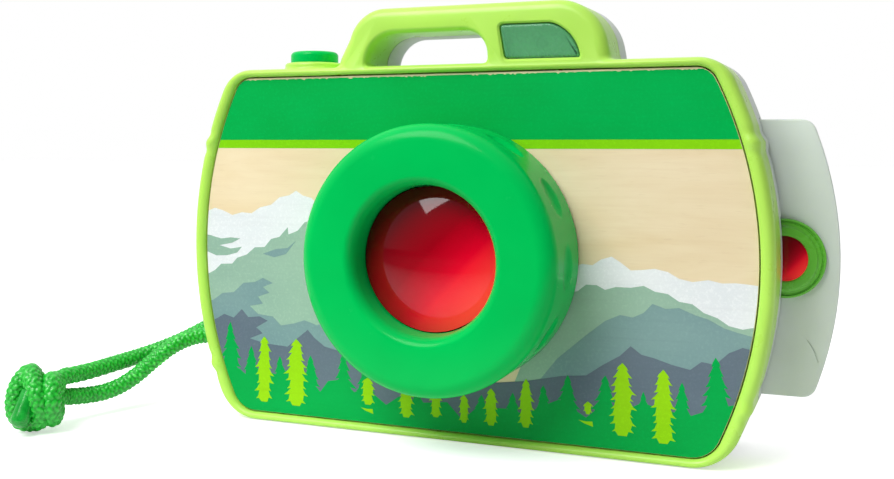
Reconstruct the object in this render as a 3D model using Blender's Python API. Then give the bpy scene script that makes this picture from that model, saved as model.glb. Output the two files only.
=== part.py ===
"""A small child's pretend camera: a printed wooden front panel in a moulded two-part body, with a
turning lens ring, a sprung shutter button, a light and sound unit, a pull-out colour filter and a
braided wrist cord.

The row frame: X runs across the camera, to the right as its front is seen. Y runs from the front
to the back. Z runs up. The origin is on the base, under the lens and midway through the depth.
All numbers below are millimetres, and degrees for angles.
"""

import math

import bmesh
import bpy

MM = 0.001
GAP = 0.3

# Body: two shells that meet at a seam plane.
HALF_WIDTH = 75.6
HEIGHT = 92.6
FRONT = -14.4
REAR = 14.4
SEAM = -1.1
WALL = 2.2
SIDE_RADIUS = 100.0
LOW_CORNER = 12.0
HIGH_CORNER = 9.0
REAR_ROUNDING = 4.0

# Wooden panel, let into the front shell.
PANEL_FRONT = -13.1
PANEL_THICKNESS = 3.0
PANEL_HALF_WIDTH = 72.0
PANEL_MARGIN = 2.3
PANEL_SIDE_RADIUS = 96.0
PANEL_LOW_CORNER = 7.0
PANEL_HIGH_CORNER = 5.0
DECK_FRONT = PANEL_FRONT + PANEL_THICKNESS + GAP
DECK_BACK = DECK_FRONT + 2.0

# Lens, on an axis along Y.
AXIS_Z = 46.2
LENS_AXIS = (0, 0, AXIS_Z)
RING_RADIUS = 31.5
RING_FRONT = -35.0
RING_BACK = PANEL_FRONT - 0.5
NECK_BORE = 17.2
NECK_RADIUS = 19.4
NECK_BACK = DECK_BACK + 2.8
NECK_HOLE = NECK_RADIUS + 0.5
DOME_RIM = -28.0
DOME_RISE = 3.6
DOME_RADIUS = 16.9
TUBE_BORE = 12.5

# Handle and the flash window in its right leg.
HANDLE_TOP = 107.2
HANDLE_FRONT = -14.0
HANDLE_REAR = 8.9
HANDLE_WALL = 2.4
OPENING = (-24.0, 8.2, 100.7)
FLASH_LOW = 93.6
FLASH_TOP = 101.6

# Shutter button.
BUTTON_X = -43.7
BUTTON_Y = -4.6
BUTTON_RADIUS = 6.3
BUTTON_TOP = 97.4
PEDESTAL_RADIUS = 7.8
PEDESTAL_TOP = 94.4
WELL_STEP = 91.0
WELL_FLOOR = 87.7
SPRING_RADIUS = 3.2
COLLAR_WALL = 1.6
SWITCH_TOP = 82.4
SWITCH_SHELF_Z = SWITCH_TOP - 7.0

# Pull-out filter, part way out at rest. Its window is at the lens's height.
SLIDE_FRONT = 5.9
SLIDE_THICKNESS = 1.5
SLIDE_REACH = 88.2
SLIDE_LOW = 13.7
SLIDE_HIGH = 78.8
SLIDE_TAIL = 32.0
WINDOW_X = 75.9
BEZEL_RADIUS = 9.3
EAR_LENGTH = 3.0
EAR_STEP = 1.0
SLIDE_TRAVEL_OUT = 10.0
SLIDE_ROOM = 0.4

# Eyepiece, in the rear shell.
EYEPIECE_RADIUS = 12.0
EYEPIECE_BORE = 9.6

# Battery compartment.
CELL_RADIUS = 5.25
CELL_LENGTH = 44.5
CELL_X = (-54.2, -42.2)
CELL_Y = 5.2
CELL_Z = 21.8
CELL_NUB = CELL_Z + CELL_LENGTH
TRAY_X = (-61.0, -35.4)
TRAY_Y = (-1.5, 9.0)
TRAY_Z = (16.8, 71.4)
TRAY_WALL = 1.2
DOOR_X = (-61.2, -35.2)
DOOR_Z = (16.2, 79.8)
DOOR_SCREW = (-48.2, 75.2)

# Leads, from their jackets' radius.
LEAD_RADIUS = 0.55

# Wrist cord, looped round a pin inside the left wall.
CORD_RADIUS = 2.3
CORD_Y = 6.5
CORD_Z = 20.5
CORD_SPREAD = 3.6
PIN_X = -68.0
KNOT_CENTRE = (-101.8, -43.3, 8.4)

# Strands of the cord, from the wall to the knot, which lies on the floor.
CORD_ROUTES = {
    "cord_back": [
        (-72.5, 6.2, 24.1),
        (-77.0, 6.2, 23.3),
        (-81.6, 5.6, 21.4),
        (-86.2, 3.4, 18.6),
        (-90.8, -0.8, 15.9),
        (-94.6, -6.6, 14.0),
        (-97.4, -12.6, 12.9),
        (-99.4, -19.2, 12.2),
        (-100.6, -26.4, 11.8),
        (-100.9, -33.6, 12.0),
    ],
    "cord_front": [
        (-72.5, 5.2, 17.0),
        (-76.4, 2.8, 17.8),
        (-80.2, -0.8, 18.6),
        (-83.9, -4.4, 18.0),
        (-87.1, -8.6, 16.0),
        (-90.6, -12.4, 12.4),
        (-93.1, -16.0, 9.2),
        (-95.3, -20.0, 7.0),
        (-97.4, -24.4, 6.0),
        (-99.4, -29.0, 6.0),
        (-100.7, -33.8, 6.6),
    ],
}

# Bosses, screws and the speaker, as places in XZ.
SHELLS = ("front_shell", "rear_shell")
SPEAKER_CENTRE = (-22.0, 19.5)
BOARD_POSTS = ((38.5, 73.0), (61.0, 22.0))
BARREL_POSTS = ((-30.5, AXIS_Z), (30.5, AXIS_Z))
SCREW_SEAT = -4.0
SCREW_PLACES = ((-57.0, 84.6), (0.0, 86.0), (57.0, 84.6), (-56.0, 8.0), (0.0, 7.4), (56.0, 8.0))


# ---------------------------------------------------------------- materials


def finish(name, colour, roughness, metallic=0.0, alpha=1.0):
    material = bpy.data.materials.new(name)
    material.use_nodes = True
    shader = material.node_tree.nodes["Principled BSDF"]
    shader.inputs["Base Color"].default_value = (*colour, 1.0)
    shader.inputs["Roughness"].default_value = roughness
    shader.inputs["Metallic"].default_value = metallic
    shader.inputs["Alpha"].default_value = alpha
    return material


# ---------------------------------------------------------------- outlines


def arc(centre_x, centre_z, radius, start, end, steps):
    """Points along an arc, both ends included."""
    angles = [math.radians(start + (end - start) * i / steps) for i in range(steps + 1)]
    return [(centre_x + radius * math.cos(a), centre_z + radius * math.sin(a)) for a in angles]


def barrel_outline(half_width, low, high, side_radius, low_corner, high_corner):
    """A shape with flat top and bottom, bowed sides and rounded corners, anticlockwise."""
    middle = (low + high) / 2
    side_x = half_width - side_radius

    def corner(radius, centre_z):
        reach = math.sqrt((side_radius - radius) ** 2 - (centre_z - middle) ** 2)
        return side_x + reach, centre_z, math.degrees(math.atan2(centre_z - middle, reach))

    low_x, low_z, low_angle = corner(low_corner, low + low_corner)
    high_x, high_z, high_angle = corner(high_corner, high - high_corner)
    right = arc(low_x, low_z, low_corner, -90, low_angle, 5)
    right += arc(side_x, middle, side_radius, low_angle, high_angle, 8)[1:-1]
    right += arc(high_x, high_z, high_corner, high_angle, 90, 4)
    return right + [(-x, z) for x, z in reversed(right)]


def body_outline():
    return barrel_outline(HALF_WIDTH, 0.0, HEIGHT, SIDE_RADIUS, LOW_CORNER, HIGH_CORNER)


def panel_outline():
    return barrel_outline(
        PANEL_HALF_WIDTH,
        PANEL_MARGIN,
        HEIGHT - PANEL_MARGIN,
        PANEL_SIDE_RADIUS,
        PANEL_LOW_CORNER,
        PANEL_HIGH_CORNER,
    )


def anticlockwise(outline):
    following = outline[1:] + outline[:1]
    area = sum(a[0] * b[1] - b[0] * a[1] for a, b in zip(outline, following))
    return outline if area > 0 else outline[::-1]


def handle_outline(foot):
    """The arch of the handle, as one band round the finger opening, with its feet at height foot."""
    left, right, top = OPENING
    band = [(-33.8, foot)]
    band += arc(-19.5, HANDLE_TOP - 10.0, 10.0, 165, 90, 5)
    band += arc(25.5, HANDLE_TOP - 12.5, 12.5, 90, 8, 6)
    band += [(39.0, foot), (right, foot)]
    band += arc(right - 6.0, top - 6.0, 6.0, 0, 90, 4)
    band += arc(left + 8.0, top - 8.0, 8.0, 90, 180, 5)
    band += [(left, foot)]
    return anticlockwise(band)


def handle_band(inset):
    """The handle's outline moved in, with its feet kept inside the wall under it."""
    foot = HEIGHT - 1.4
    return grown(handle_outline(foot - inset), -inset)


def handle_cavity():
    """The hollow inside the handle, which opens into the body below it."""
    return grown(handle_outline(86.0), -HANDLE_WALL)


def flash_outline():
    """The flash window: a slanted left side and a curved right side."""
    outline = [(11.8, FLASH_TOP), (13.2, FLASH_LOW)]
    outline += arc(21.9, 92.2, 9.6, 8, 76, 7)
    return anticlockwise(outline)


def slide_outline():
    """The filter plate: a bowed outer edge, rounded corners and two ears that stop it."""
    middle = (SLIDE_LOW + SLIDE_HIGH) / 2
    bow = 88.0
    corner = 3.5
    bow_x = SLIDE_REACH - bow
    height = SLIDE_HIGH - corner - middle
    corner_x = bow_x + math.sqrt((bow - corner) ** 2 - height**2)
    lean = math.degrees(math.atan2(height, corner_x - bow_x))
    edge = arc(corner_x, SLIDE_LOW + corner, corner, -90, -lean, 4)
    edge += arc(bow_x, middle, bow, -lean, lean, 12)[1:-1]
    edge += arc(corner_x, SLIDE_HIGH - corner, corner, lean, 90, 4)
    ear_x = SLIDE_TAIL + EAR_LENGTH
    top = SLIDE_HIGH + EAR_STEP
    bottom = SLIDE_LOW - EAR_STEP
    high_ear = [(ear_x, SLIDE_HIGH), (ear_x, top), (SLIDE_TAIL, top)]
    low_ear = [(SLIDE_TAIL, bottom), (ear_x, bottom), (ear_x, SLIDE_LOW)]
    return edge + high_ear + low_ear


def grown(outline, distance):
    """The outline moved out by a distance, or in by a negative one."""
    result = []
    for before, point, after in zip(outline[-1:] + outline[:-1], outline, outline[1:] + outline[:1]):
        normals = []
        for start, end in ((before, point), (point, after)):
            length = math.hypot(end[0] - start[0], end[1] - start[1])
            normals.append(((end[1] - start[1]) / length, (start[0] - end[0]) / length))
        (ax, az), (bx, bz) = normals
        reach = distance / (1 + ax * bx + az * bz)
        result.append((point[0] + (ax + bx) * reach, point[1] + (az + bz) * reach))
    return result


def between(first, second, share):
    """The outline a share of the way from the first to the second, which have as many points."""
    return [
        (a[0] + (b[0] - a[0]) * share, a[1] + (b[1] - a[1]) * share) for a, b in zip(first, second)
    ]


def rectangle(left, right, low, high):
    return [(left, low), (right, low), (right, high), (left, high)]


# ---------------------------------------------------------------- solids


def add(name, mesh_data, material=None, origin=(0, 0, 0), rotation=(0, 0, 0)):
    """An object from a bmesh whose points are relative to origin, in millimetres."""
    bmesh.ops.scale(mesh_data, vec=(MM, MM, MM), verts=mesh_data.verts)
    bmesh.ops.recalc_face_normals(mesh_data, faces=mesh_data.faces)
    if mesh_data.calc_volume(signed=True) < 0:
        bmesh.ops.reverse_faces(mesh_data, faces=mesh_data.faces)
    mesh = bpy.data.meshes.new(name)
    mesh_data.to_mesh(mesh)
    mesh_data.free()
    mesh.shade_smooth()
    mesh.set_sharp_from_angle(angle=math.radians(35))
    result = bpy.data.objects.new(name, mesh)
    result.location = [value * MM for value in origin]
    result.rotation_euler = rotation
    bpy.context.collection.objects.link(result)
    if material is None:
        result.hide_render = True
        result.display_type = "WIRE"
    else:
        mesh.materials.append(material)
    return result


def loft(name, rings, material=None, origin=(0, 0, 0)):
    """A closed solid through outlines in XZ, each at its own Y, with a flat face at either end."""
    data = bmesh.new()
    loops = []
    for outline, y in rings:
        points = [(x - origin[0], y - origin[1], z - origin[2]) for x, z in outline]
        loops.append([data.verts.new(point) for point in points])
    for first, second in zip(loops, loops[1:]):
        for i in range(len(first)):
            j = (i + 1) % len(first)
            data.faces.new((first[i], first[j], second[j], second[i]))
    data.faces.new(loops[0])
    data.faces.new(loops[-1])
    return add(name, data, material, origin)


def prism(name, outline, near, far, material=None, origin=(0, 0, 0)):
    return loft(name, [(outline, near), (outline, far)], material, origin)


def block(name, x, y, z, material=None, origin=(0, 0, 0)):
    """A box, from a pair of limits on each axis."""
    return prism(name, rectangle(x[0], x[1], z[0], z[1]), y[0], y[1], material, origin)


def turned(name, profile, steps, material=None, origin=(0, 0, 0), upright=False):
    """A solid turned from a closed profile of (radius, distance along the axis).

    The axis points forwards, along -Y, or up if upright is set.
    """
    data = bmesh.new()
    loops = []
    for radius, along in profile:
        if radius == 0:
            loops.append([data.verts.new((0, 0, along))] * steps)
            continue
        turn = [2 * math.pi * i / steps for i in range(steps)]
        loops.append([data.verts.new((radius * math.cos(a), radius * math.sin(a), along)) for a in turn])
    for first, second in zip(loops, loops[1:] + loops[:1]):
        for i in range(steps):
            j = (i + 1) % steps
            corners = list(dict.fromkeys((first[i], first[j], second[j], second[i])))
            if len(corners) > 2:
                data.faces.new(corners)
    rotation = (0, 0, 0) if upright else (math.radians(90), 0, 0)
    return add(name, data, material, origin, rotation)


def rod(name, radius, start, end, steps, material=None, origin=(0, 0, 0), upright=False):
    """A plain round bar along the axis of turned."""
    profile = [(0, start), (radius, start), (radius, end), (0, end)]
    return turned(name, profile, steps, material, origin, upright)


def ring_profile(bore, radius, start, end):
    return [(bore, start), (radius, start), (radius, end), (bore, end)]


def change(target, tool, operation):
    """A Boolean. The shells take dozens, in which the exact solver loses small faces of the bores."""
    modifier = target.modifiers.new(tool.name, "BOOLEAN")
    modifier.operation = operation
    if target.name in SHELLS:
        modifier.solver = "MANIFOLD"
    modifier.object = tool
    tool.hide_render = True
    tool.display_type = "WIRE"


def cut(target, *tools):
    for tool in tools:
        change(target, tool, "DIFFERENCE")


def join(target, *tools):
    for tool in tools:
        change(target, tool, "UNION")


def smooth_route(points, spacing):
    """Points at an even spacing along a smooth curve through the given ones."""
    fine = []
    padded = [points[0]] + points + [points[-1]]
    for a, b, c, d in zip(padded, padded[1:], padded[2:], padded[3:]):
        for i in range(20):
            t = i / 20
            fine.append(
                tuple(
                    0.5
                    * (
                        2 * q
                        + (r - p) * t
                        + (2 * p - 5 * q + 4 * r - s) * t**2
                        + (3 * q - p - 3 * r + s) * t**3
                    )
                    for p, q, r, s in zip(a, b, c, d)
                )
            )
    fine.append(points[-1])
    lengths = [math.dist(a, b) for a, b in zip(fine, fine[1:])]
    count = max(2, round(sum(lengths) / spacing))
    step = sum(lengths) / count
    route = [fine[0]]
    walked = 0.0
    for start, end, length in zip(fine, fine[1:], lengths):
        while len(route) < count and walked + length >= step * len(route):
            share = (step * len(route) - walked) / length
            route.append(tuple(p + (q - p) * share for p, q in zip(start, end)))
        walked += length
    return route[:count] + [fine[-1]]


def tube(name, route, radius, material, sides=2):
    """A round tube along a route, as a bevelled curve with filled ends."""
    curve = bpy.data.curves.new(name, "CURVE")
    curve.dimensions = "3D"
    curve.bevel_depth = radius * MM
    curve.bevel_resolution = sides
    curve.use_fill_caps = True
    curve.resolution_u = 1
    spline = curve.splines.new("POLY")
    spline.points.add(len(route) - 1)
    for point, place in zip(spline.points, route):
        point.co = (*(value * MM for value in place), 1.0)
    curve.materials.append(material)
    result = bpy.data.objects.new(name, curve)
    bpy.context.collection.objects.link(result)
    return result


def coil(name, centre, radius, wire, start, end, turns, material, upright=True):
    """A compression spring as a round wire along a helix."""
    steps = int(turns * 9)
    route = []
    for i in range(steps + 1):
        angle = 2 * math.pi * turns * i / steps
        along = start + wire + (end - start - 2 * wire) * i / steps
        side = (radius * math.cos(angle), radius * math.sin(angle))
        if upright:
            route.append((centre[0] + side[0], centre[1] + side[1], along))
        else:
            route.append((centre[0] + side[0], along, centre[1] + side[1]))
    return tube(name, route, wire, material, sides=0)


# ---------------------------------------------------------------- body shells


def boss_posts(shell, places, radius, start, end):
    for number, (x, z) in enumerate(places, 1):
        join(shell, rod(f"{shell.name}_post_{number}", radius, start, end, 8, None, (x, 0, z)))


def boss_bores(shell, places, radius, start, end, label):
    for number, (x, z) in enumerate(places, 1):
        cut(shell, rod(f"{shell.name}_{label}_{number}", radius, start, end, 8, None, (x, 0, z)))


def handle_half(name, face, rounding_step, seam):
    """One half of the handle: rounded over at its outer face, and ending at the seam."""
    rings = [
        (handle_band(2.2), face),
        (handle_band(0.7), face + rounding_step * 0.7),
        (handle_band(0), face + rounding_step * 2.4),
        (handle_band(0), seam),
    ]
    return loft(name, rings)


def make_front_shell(lime):
    outer = body_outline()
    inner = grown(outer, -WALL)
    recess = grown(panel_outline(), GAP)
    seam = SEAM - GAP / 2
    bead = ((0.0, 2.0), (0.08, 0.9), (0.27, 0.25), (0.55, 0.0), (0.85, 0.3), (1.0, 1.0))
    rings = [(inner, DECK_BACK), (inner, seam), (outer, seam)]
    rings += [(between(outer, recess, share), FRONT + depth) for share, depth in bead]
    rings += [(recess, DECK_FRONT)]
    shell = loft("front_shell", rings, lime)
    join(shell, handle_half("handle_front", HANDLE_FRONT, 1, seam))
    seat = (BUTTON_X, BUTTON_Y, 0)
    join(shell, rod("pedestal", PEDESTAL_RADIUS, HEIGHT - 1.9, PEDESTAL_TOP, 28, None, seat, True))
    collar_low = WELL_FLOOR - COLLAR_WALL
    join(shell, rod("spring_collar", SPRING_RADIUS + 2.2, collar_low, HEIGHT - 1.0, 20, None, seat, True))
    boss_posts(shell, SCREW_PLACES, 3.2, -SEAM + 0.4, -DECK_BACK + 0.5)
    for number, (x, z) in enumerate(BARREL_POSTS, 1):
        join(shell, rod(f"barrel_post_{number}", 2.6, 4.6, -DECK_BACK + 0.5, 8, None, (x, 0, z)))
    for number, (x, z) in enumerate(BOARD_POSTS, 1):
        join(shell, rod(f"board_post_{number}", 2.4, 3.6, -DECK_BACK + 0.5, 8, None, (x, 0, z)))
        cut(shell, rod(f"board_bore_{number}", 1.2, 3.0, 7.0, 8, None, (x, 0, z)))
    shelf_z = (SWITCH_SHELF_Z - 1.8, SWITCH_SHELF_Z)
    join(shell, block("switch_shelf", (-51.0, -36.0), (DECK_BACK - 0.5, 0.8), shelf_z))

    cut(shell, prism("handle_cavity_front", handle_cavity(), HANDLE_FRONT + HANDLE_WALL, 2.0))
    cut(shell, prism("flash_hole", grown(flash_outline(), GAP), -20.0, HANDLE_FRONT + 5.0))
    cut(shell, rod("neck_hole", NECK_HOLE, -DECK_BACK - 3.0, -DECK_FRONT + 3.0, 40, None, LENS_AXIS))
    well = [
        (0, 80.0),
        (2.1, 80.0),
        (2.1, WELL_FLOOR),
        (SPRING_RADIUS + 0.7, WELL_FLOOR),
        (SPRING_RADIUS + 0.7, WELL_STEP),
        (BUTTON_RADIUS + GAP, WELL_STEP),
        (BUTTON_RADIUS + GAP, 99.0),
        (0, 99.0),
    ]
    cut(shell, turned("button_well", well, 28, None, seat, True))
    boss_bores(shell, SCREW_PLACES, 1.45, 0.0, 7.2, "pilot")
    boss_bores(shell, BARREL_POSTS, 1.2, 0.0, 9.0, "barrel_pilot")
    return shell


def make_rear_shell(white):
    outer = body_outline()
    inner = grown(outer, -WALL)
    seam = SEAM + GAP / 2
    rounding = ((0.0, 1.0), (0.35, 0.42), (1.2, 0.1), (2.4, 0.0))
    rings = [(inner, REAR - WALL), (inner, seam), (outer, seam)]
    rings += [(grown(outer, -inset), REAR - REAR_ROUNDING * share) for inset, share in rounding]
    shell = loft("rear_shell", rings, white)
    join(shell, handle_half("handle_rear", HANDLE_REAR, -1, seam))
    boss_posts(shell, SCREW_PLACES, 3.5, -(REAR - WALL + 0.5), -seam - 1.0)
    pin_boss = rod("pin_boss", 2.6, -(REAR - WALL + 0.5), -9.3, 12, None, (PIN_X, 0, CORD_Z))
    join(shell, pin_boss)

    cut(shell, prism("handle_cavity_rear", handle_cavity(), -4.0, HANDLE_REAR - HANDLE_WALL))
    seat = (BUTTON_X, BUTTON_Y, 0)
    cut(shell, rod("pedestal_notch", PEDESTAL_RADIUS + GAP, 80.0, 99.0, 28, None, seat, True))
    cut(shell, rod("eyepiece_hole", EYEPIECE_RADIUS + GAP, -20.0, -8.0, 32, None, LENS_AXIS))
    door_hole = grown(rectangle(*DOOR_X, *DOOR_Z), GAP)
    cut(shell, prism("door_hole", door_hole, 10.0, 20.0))
    side_wall = (60.0, 82.0)
    slot_y = (SLIDE_FRONT - SLIDE_ROOM, SLIDE_FRONT + SLIDE_THICKNESS + SLIDE_ROOM)
    cut(shell, block("slide_slot", side_wall, slot_y, (SLIDE_LOW - SLIDE_ROOM, SLIDE_HIGH + SLIDE_ROOM)))
    notch = BEZEL_RADIUS + SLIDE_ROOM
    notch_z = (AXIS_Z - notch, AXIS_Z + notch)
    cut(shell, block("bezel_notch", side_wall, (3.3, SLIDE_FRONT + 0.5), notch_z))
    cut(shell, cord_slot())
    cut(shell, rod("pin_bore", 1.5, -11.6, -9.0, 12, None, (PIN_X, 0, CORD_Z)))
    bore = [(0, -20.0), (2.9, -20.0), (2.9, SCREW_SEAT), (1.6, SCREW_SEAT), (1.6, 6.0), (0, 6.0)]
    for number, (x, z) in enumerate(SCREW_PLACES, 1):
        cut(shell, turned(f"screw_bore_{number}", bore, 8, None, (x, 0, z)))
    for number, (x, z) in enumerate(grille_holes(), 1):
        cut(shell, rod(f"grille_{number}", 1.1, -20.0, -10.0, 8, None, (x, 0, z)))
    return shell


def cord_slot():
    """A cutter along X for the oval mouth that both strands of the cord leave by."""
    half_height = CORD_SPREAD + CORD_RADIUS + 0.7
    radius = CORD_RADIUS + 0.95
    middle_y = CORD_Y - 0.55
    reach = half_height - radius
    outline = arc(middle_y, CORD_Z - reach, radius, 180, 360, 6)
    outline += arc(middle_y, CORD_Z + reach, radius, 0, 180, 6)
    data = bmesh.new()
    loops = [[data.verts.new((x, y, z)) for y, z in outline] for x in (-80.0, -66.0)]
    for i in range(len(outline)):
        j = (i + 1) % len(outline)
        data.faces.new((loops[0][i], loops[0][j], loops[1][j], loops[1][i]))
    data.faces.new(loops[0])
    data.faces.new(loops[1])
    return add("cord_hole", data)


def grille_holes():
    """One hole in the middle and six round it."""
    middle_x, middle_z = SPEAKER_CENTRE
    return [SPEAKER_CENTRE] + arc(middle_x, middle_z, 5.0, 0, 300, 5)


# ---------------------------------------------------------------- lens


def make_front_panel(wood):
    panel = prism("front_panel", panel_outline(), PANEL_FRONT, PANEL_FRONT + PANEL_THICKNESS, wood)
    cut(panel, rod("panel_hole", NECK_HOLE, 5.0, 20.0, 40, None, LENS_AXIS))
    return panel


def make_lens(green, red, dark, steel):
    front = -RING_FRONT
    back = -RING_BACK
    profile = [
        (RING_RADIUS, back),
        (RING_RADIUS, front - 3.5),
        (RING_RADIUS - 0.6, front - 1.6),
        (RING_RADIUS - 1.9, front - 0.4),
        (RING_RADIUS - 3.6, front),
        (19.7, front),
        (18.6, front - 0.4),
        (17.9, front - 1.5),
        (17.4, front - 3.2),
        (NECK_BORE, front - 5.4),
        (NECK_BORE, -NECK_BACK),
        (NECK_RADIUS, -NECK_BACK),
        (NECK_RADIUS, front - 6.0),
        (21.0, front - 3.2),
        (RING_RADIUS - 3.2, front - 3.2),
        (RING_RADIUS - 2.4, back),
    ]
    turned("lens_ring", profile, 40, green, LENS_AXIS)
    make_click_wheel(dark)
    make_barrel(dark, steel)
    turned("lens_dome", dome_profile(), 32, red, LENS_AXIS)


def make_click_wheel(dark):
    """The wheel on the ring's neck, with a notch for each click."""
    rim = 25.0
    profile = ring_profile(NECK_RADIUS + GAP, rim, -NECK_BACK, -DECK_BACK - 0.5)
    wheel = turned("click_wheel", profile, 36, dark, LENS_AXIS)
    teeth = 12
    for number in range(teeth):
        angle = 2 * math.pi * (number + 0.5) / teeth
        place = ((rim + 0.6) * math.cos(angle), 0, AXIS_Z + (rim + 0.6) * math.sin(angle))
        cut(wheel, rod(f"click_notch_{number + 1}", 1.6, 0.0, 12.0, 6, None, place))


def make_barrel(dark, steel):
    """The fixed barrel that holds the dome, on two posts, and the viewing tube behind it."""
    barrel_front = -DOME_RIM - 1.5
    flange_front = -(NECK_BACK + 0.8)
    flange_back = flange_front - 1.8
    profile = [
        (14.8, flange_back),
        (27.5, flange_back),
        (27.5, flange_front),
        (16.7, flange_front),
        (16.7, barrel_front),
        (14.8, barrel_front),
    ]
    barrel = turned("lens_barrel", profile, 32, dark, LENS_AXIS)
    ear_x = BARREL_POSTS[1][0] + 3.1
    ear_outline = rectangle(-ear_x, ear_x, AXIS_Z - 3.4, AXIS_Z + 3.4)
    ears = prism("barrel_ears", ear_outline, -flange_front, -flange_back)
    cut(ears, rod("ears_bore", 20.0, -10.0, 20.0, 24, None, LENS_AXIS))
    join(barrel, ears)
    for side, (x, z) in zip(("left", "right"), BARREL_POSTS):
        cut(barrel, rod(f"ear_bore_{side}", 1.3, -10.0, 20.0, 10, None, (x, 0, z)))
        screw(f"barrel_screw_{side}", (x, 0, z), 2.2, 0.9, flange_back - GAP, 6.6, steel)
    tube_profile = ring_profile(TUBE_BORE, TUBE_BORE + 1.5, -(REAR - WALL - GAP), flange_back - GAP)
    turned("viewing_tube", tube_profile, 28, dark, LENS_AXIS)


def dome_profile():
    """A thin domed lens: its outer face, then its inner face back to the axis."""
    thickness = 1.2
    sphere = (DOME_RADIUS**2 + DOME_RISE**2) / (2 * DOME_RISE)
    outside = []
    rings = 4
    for i in range(rings + 1):
        radius = DOME_RADIUS * i / rings
        drop = sphere - math.sqrt(sphere**2 - radius**2)
        outside.append((radius, DOME_RISE - drop - DOME_RIM))
    return outside + [(radius, along - thickness) for radius, along in reversed(outside)]


def screw(name, origin, head_radius, shank_radius, head_under, tip, material):
    """A pan-headed screw pointing forwards, from under its head to its tip."""
    profile = [
        (0, head_under - 1.6),
        (head_radius * 0.75, head_under - 1.6),
        (head_radius, head_under - 1.0),
        (head_radius, head_under),
        (shank_radius, head_under),
        (shank_radius, tip - 1.2),
        (0, tip),
    ]
    return turned(name, profile, 8, material, origin)


# ---------------------------------------------------------------- filter slide


def make_slide(white, green, red):
    back = SLIDE_FRONT + SLIDE_THICKNESS
    plate_origin = (WINDOW_X, SLIDE_FRONT, AXIS_Z)
    window_axis = (WINDOW_X, 0, AXIS_Z)
    plate = prism("filter_slide", slide_outline(), SLIDE_FRONT, back, white, plate_origin)
    cut(plate, rod("slide_window_hole", 5.6, -20.0, 0.0, 24, None, window_axis))
    face = -(SLIDE_FRONT - GAP)
    profile = [
        (7.3, face),
        (BEZEL_RADIUS, face),
        (BEZEL_RADIUS, face + 1.2),
        (BEZEL_RADIUS - 1.6, face + 1.2),
        (BEZEL_RADIUS - 1.9, face + 1.8),
        (5.3, face + 1.8),
        (5.3, face + 1.1),
        (7.3, face + 1.1),
    ]
    turned("slide_bezel", profile, 28, green, window_axis)
    rod("slide_window", 7.0, face + 0.1, face + 0.8, 32, red, window_axis)
    for name, edge, side in (("slide_guide_upper", SLIDE_HIGH, 1), ("slide_guide_lower", SLIDE_LOW, -1)):
        guide_x = (SLIDE_TAIL + EAR_LENGTH + SLIDE_TRAVEL_OUT + GAP, 64.0)
        depth = (SLIDE_FRONT - 1.9, back + 1.9)
        limits = sorted((edge - 1.6 * side, edge + 1.9 * side))
        guide = block(name, guide_x, depth, limits, white)
        groove = sorted((edge - 5.0 * side, edge + SLIDE_ROOM * side))
        groove_y = (SLIDE_FRONT - SLIDE_ROOM, back + SLIDE_ROOM)
        cut(guide, block(f"{name}_groove", (30.0, 80.0), groove_y, groove))


# ---------------------------------------------------------------- flash and shutter


def make_flash(tint, silver, clear):
    outline = flash_outline()
    behind = HANDLE_FRONT + HANDLE_WALL
    window = prism("flash_window", outline, HANDLE_FRONT + 0.2, behind + 1.4, tint)
    join(window, prism("flash_flange", grown(outline, 1.1), behind + GAP, behind + 1.4))
    front = behind + 1.4 + GAP
    depth = 4.0
    rings = [(grown(outline, 0.9), front), (grown(outline, 0.9), front + depth)]
    reflector = loft("flash_reflector", rings, silver)
    mouth = grown(outline, -0.2)
    floor = grown(outline, -1.8)
    hollow = [(mouth, front - 1.0), (mouth, front), (floor, front + 3.2)]
    cut(reflector, loft("reflector_hollow", hollow))
    led_x, led_z = 20.6, 97.6
    led_radius = 1.4
    cut(reflector, rod("led_hole", led_radius + GAP, -10.0, 20.0, 12, None, (led_x, 0, led_z)))
    tip = -(front + 1.4)
    base = -(front + depth + GAP)
    profile = [
        (0, base - 1.2),
        (led_radius + 0.7, base - 1.2),
        (led_radius + 0.7, base),
        (led_radius, base),
        (led_radius, tip - 1.0),
        (led_radius - 0.5, tip - 0.3),
        (0, tip),
    ]
    turned("flash_led", profile, 12, clear, (led_x, 0, led_z))


def make_button(green, steel, dark, board):
    origin = (BUTTON_X, BUTTON_Y, 0)
    cap_low = WELL_STEP + 2.0
    stem_low = SWITCH_TOP + 2.1
    profile = [
        (0, stem_low),
        (1.7, stem_low),
        (1.7, cap_low),
        (BUTTON_RADIUS, cap_low),
        (BUTTON_RADIUS, BUTTON_TOP - 1.0),
        (BUTTON_RADIUS - 0.35, BUTTON_TOP - 0.3),
        (BUTTON_RADIUS - 1.1, BUTTON_TOP),
        (0, BUTTON_TOP + 0.1),
    ]
    turned("shutter_button", profile, 24, green, origin, True)
    clip_top = WELL_FLOOR - COLLAR_WALL - GAP
    turned("button_clip", ring_profile(2.0, 2.9, clip_top - 0.8, clip_top), 20, steel, origin, True)
    coil("shutter_spring", origin, SPRING_RADIUS, 0.35, WELL_FLOOR + GAP, cap_low - GAP, 3.5, steel)
    board_z = (SWITCH_SHELF_Z + GAP, SWITCH_SHELF_Z + GAP + 1.2)
    block("switch_board", (-50.4, -36.6), (-7.4, 0.4), board_z, board)
    body_z = (board_z[1] + GAP, SWITCH_TOP - 0.9)
    body_x = (BUTTON_X - 3.0, BUTTON_X + 3.0)
    body_y = (BUTTON_Y - 2.2, BUTTON_Y + 3.8)
    switch = block("tact_switch", body_x, body_y, body_z, dark)
    join(switch, rod("switch_plunger", 1.6, body_z[0] + 1.0, SWITCH_TOP, 12, None, origin, True))


# ---------------------------------------------------------------- electronics


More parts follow.
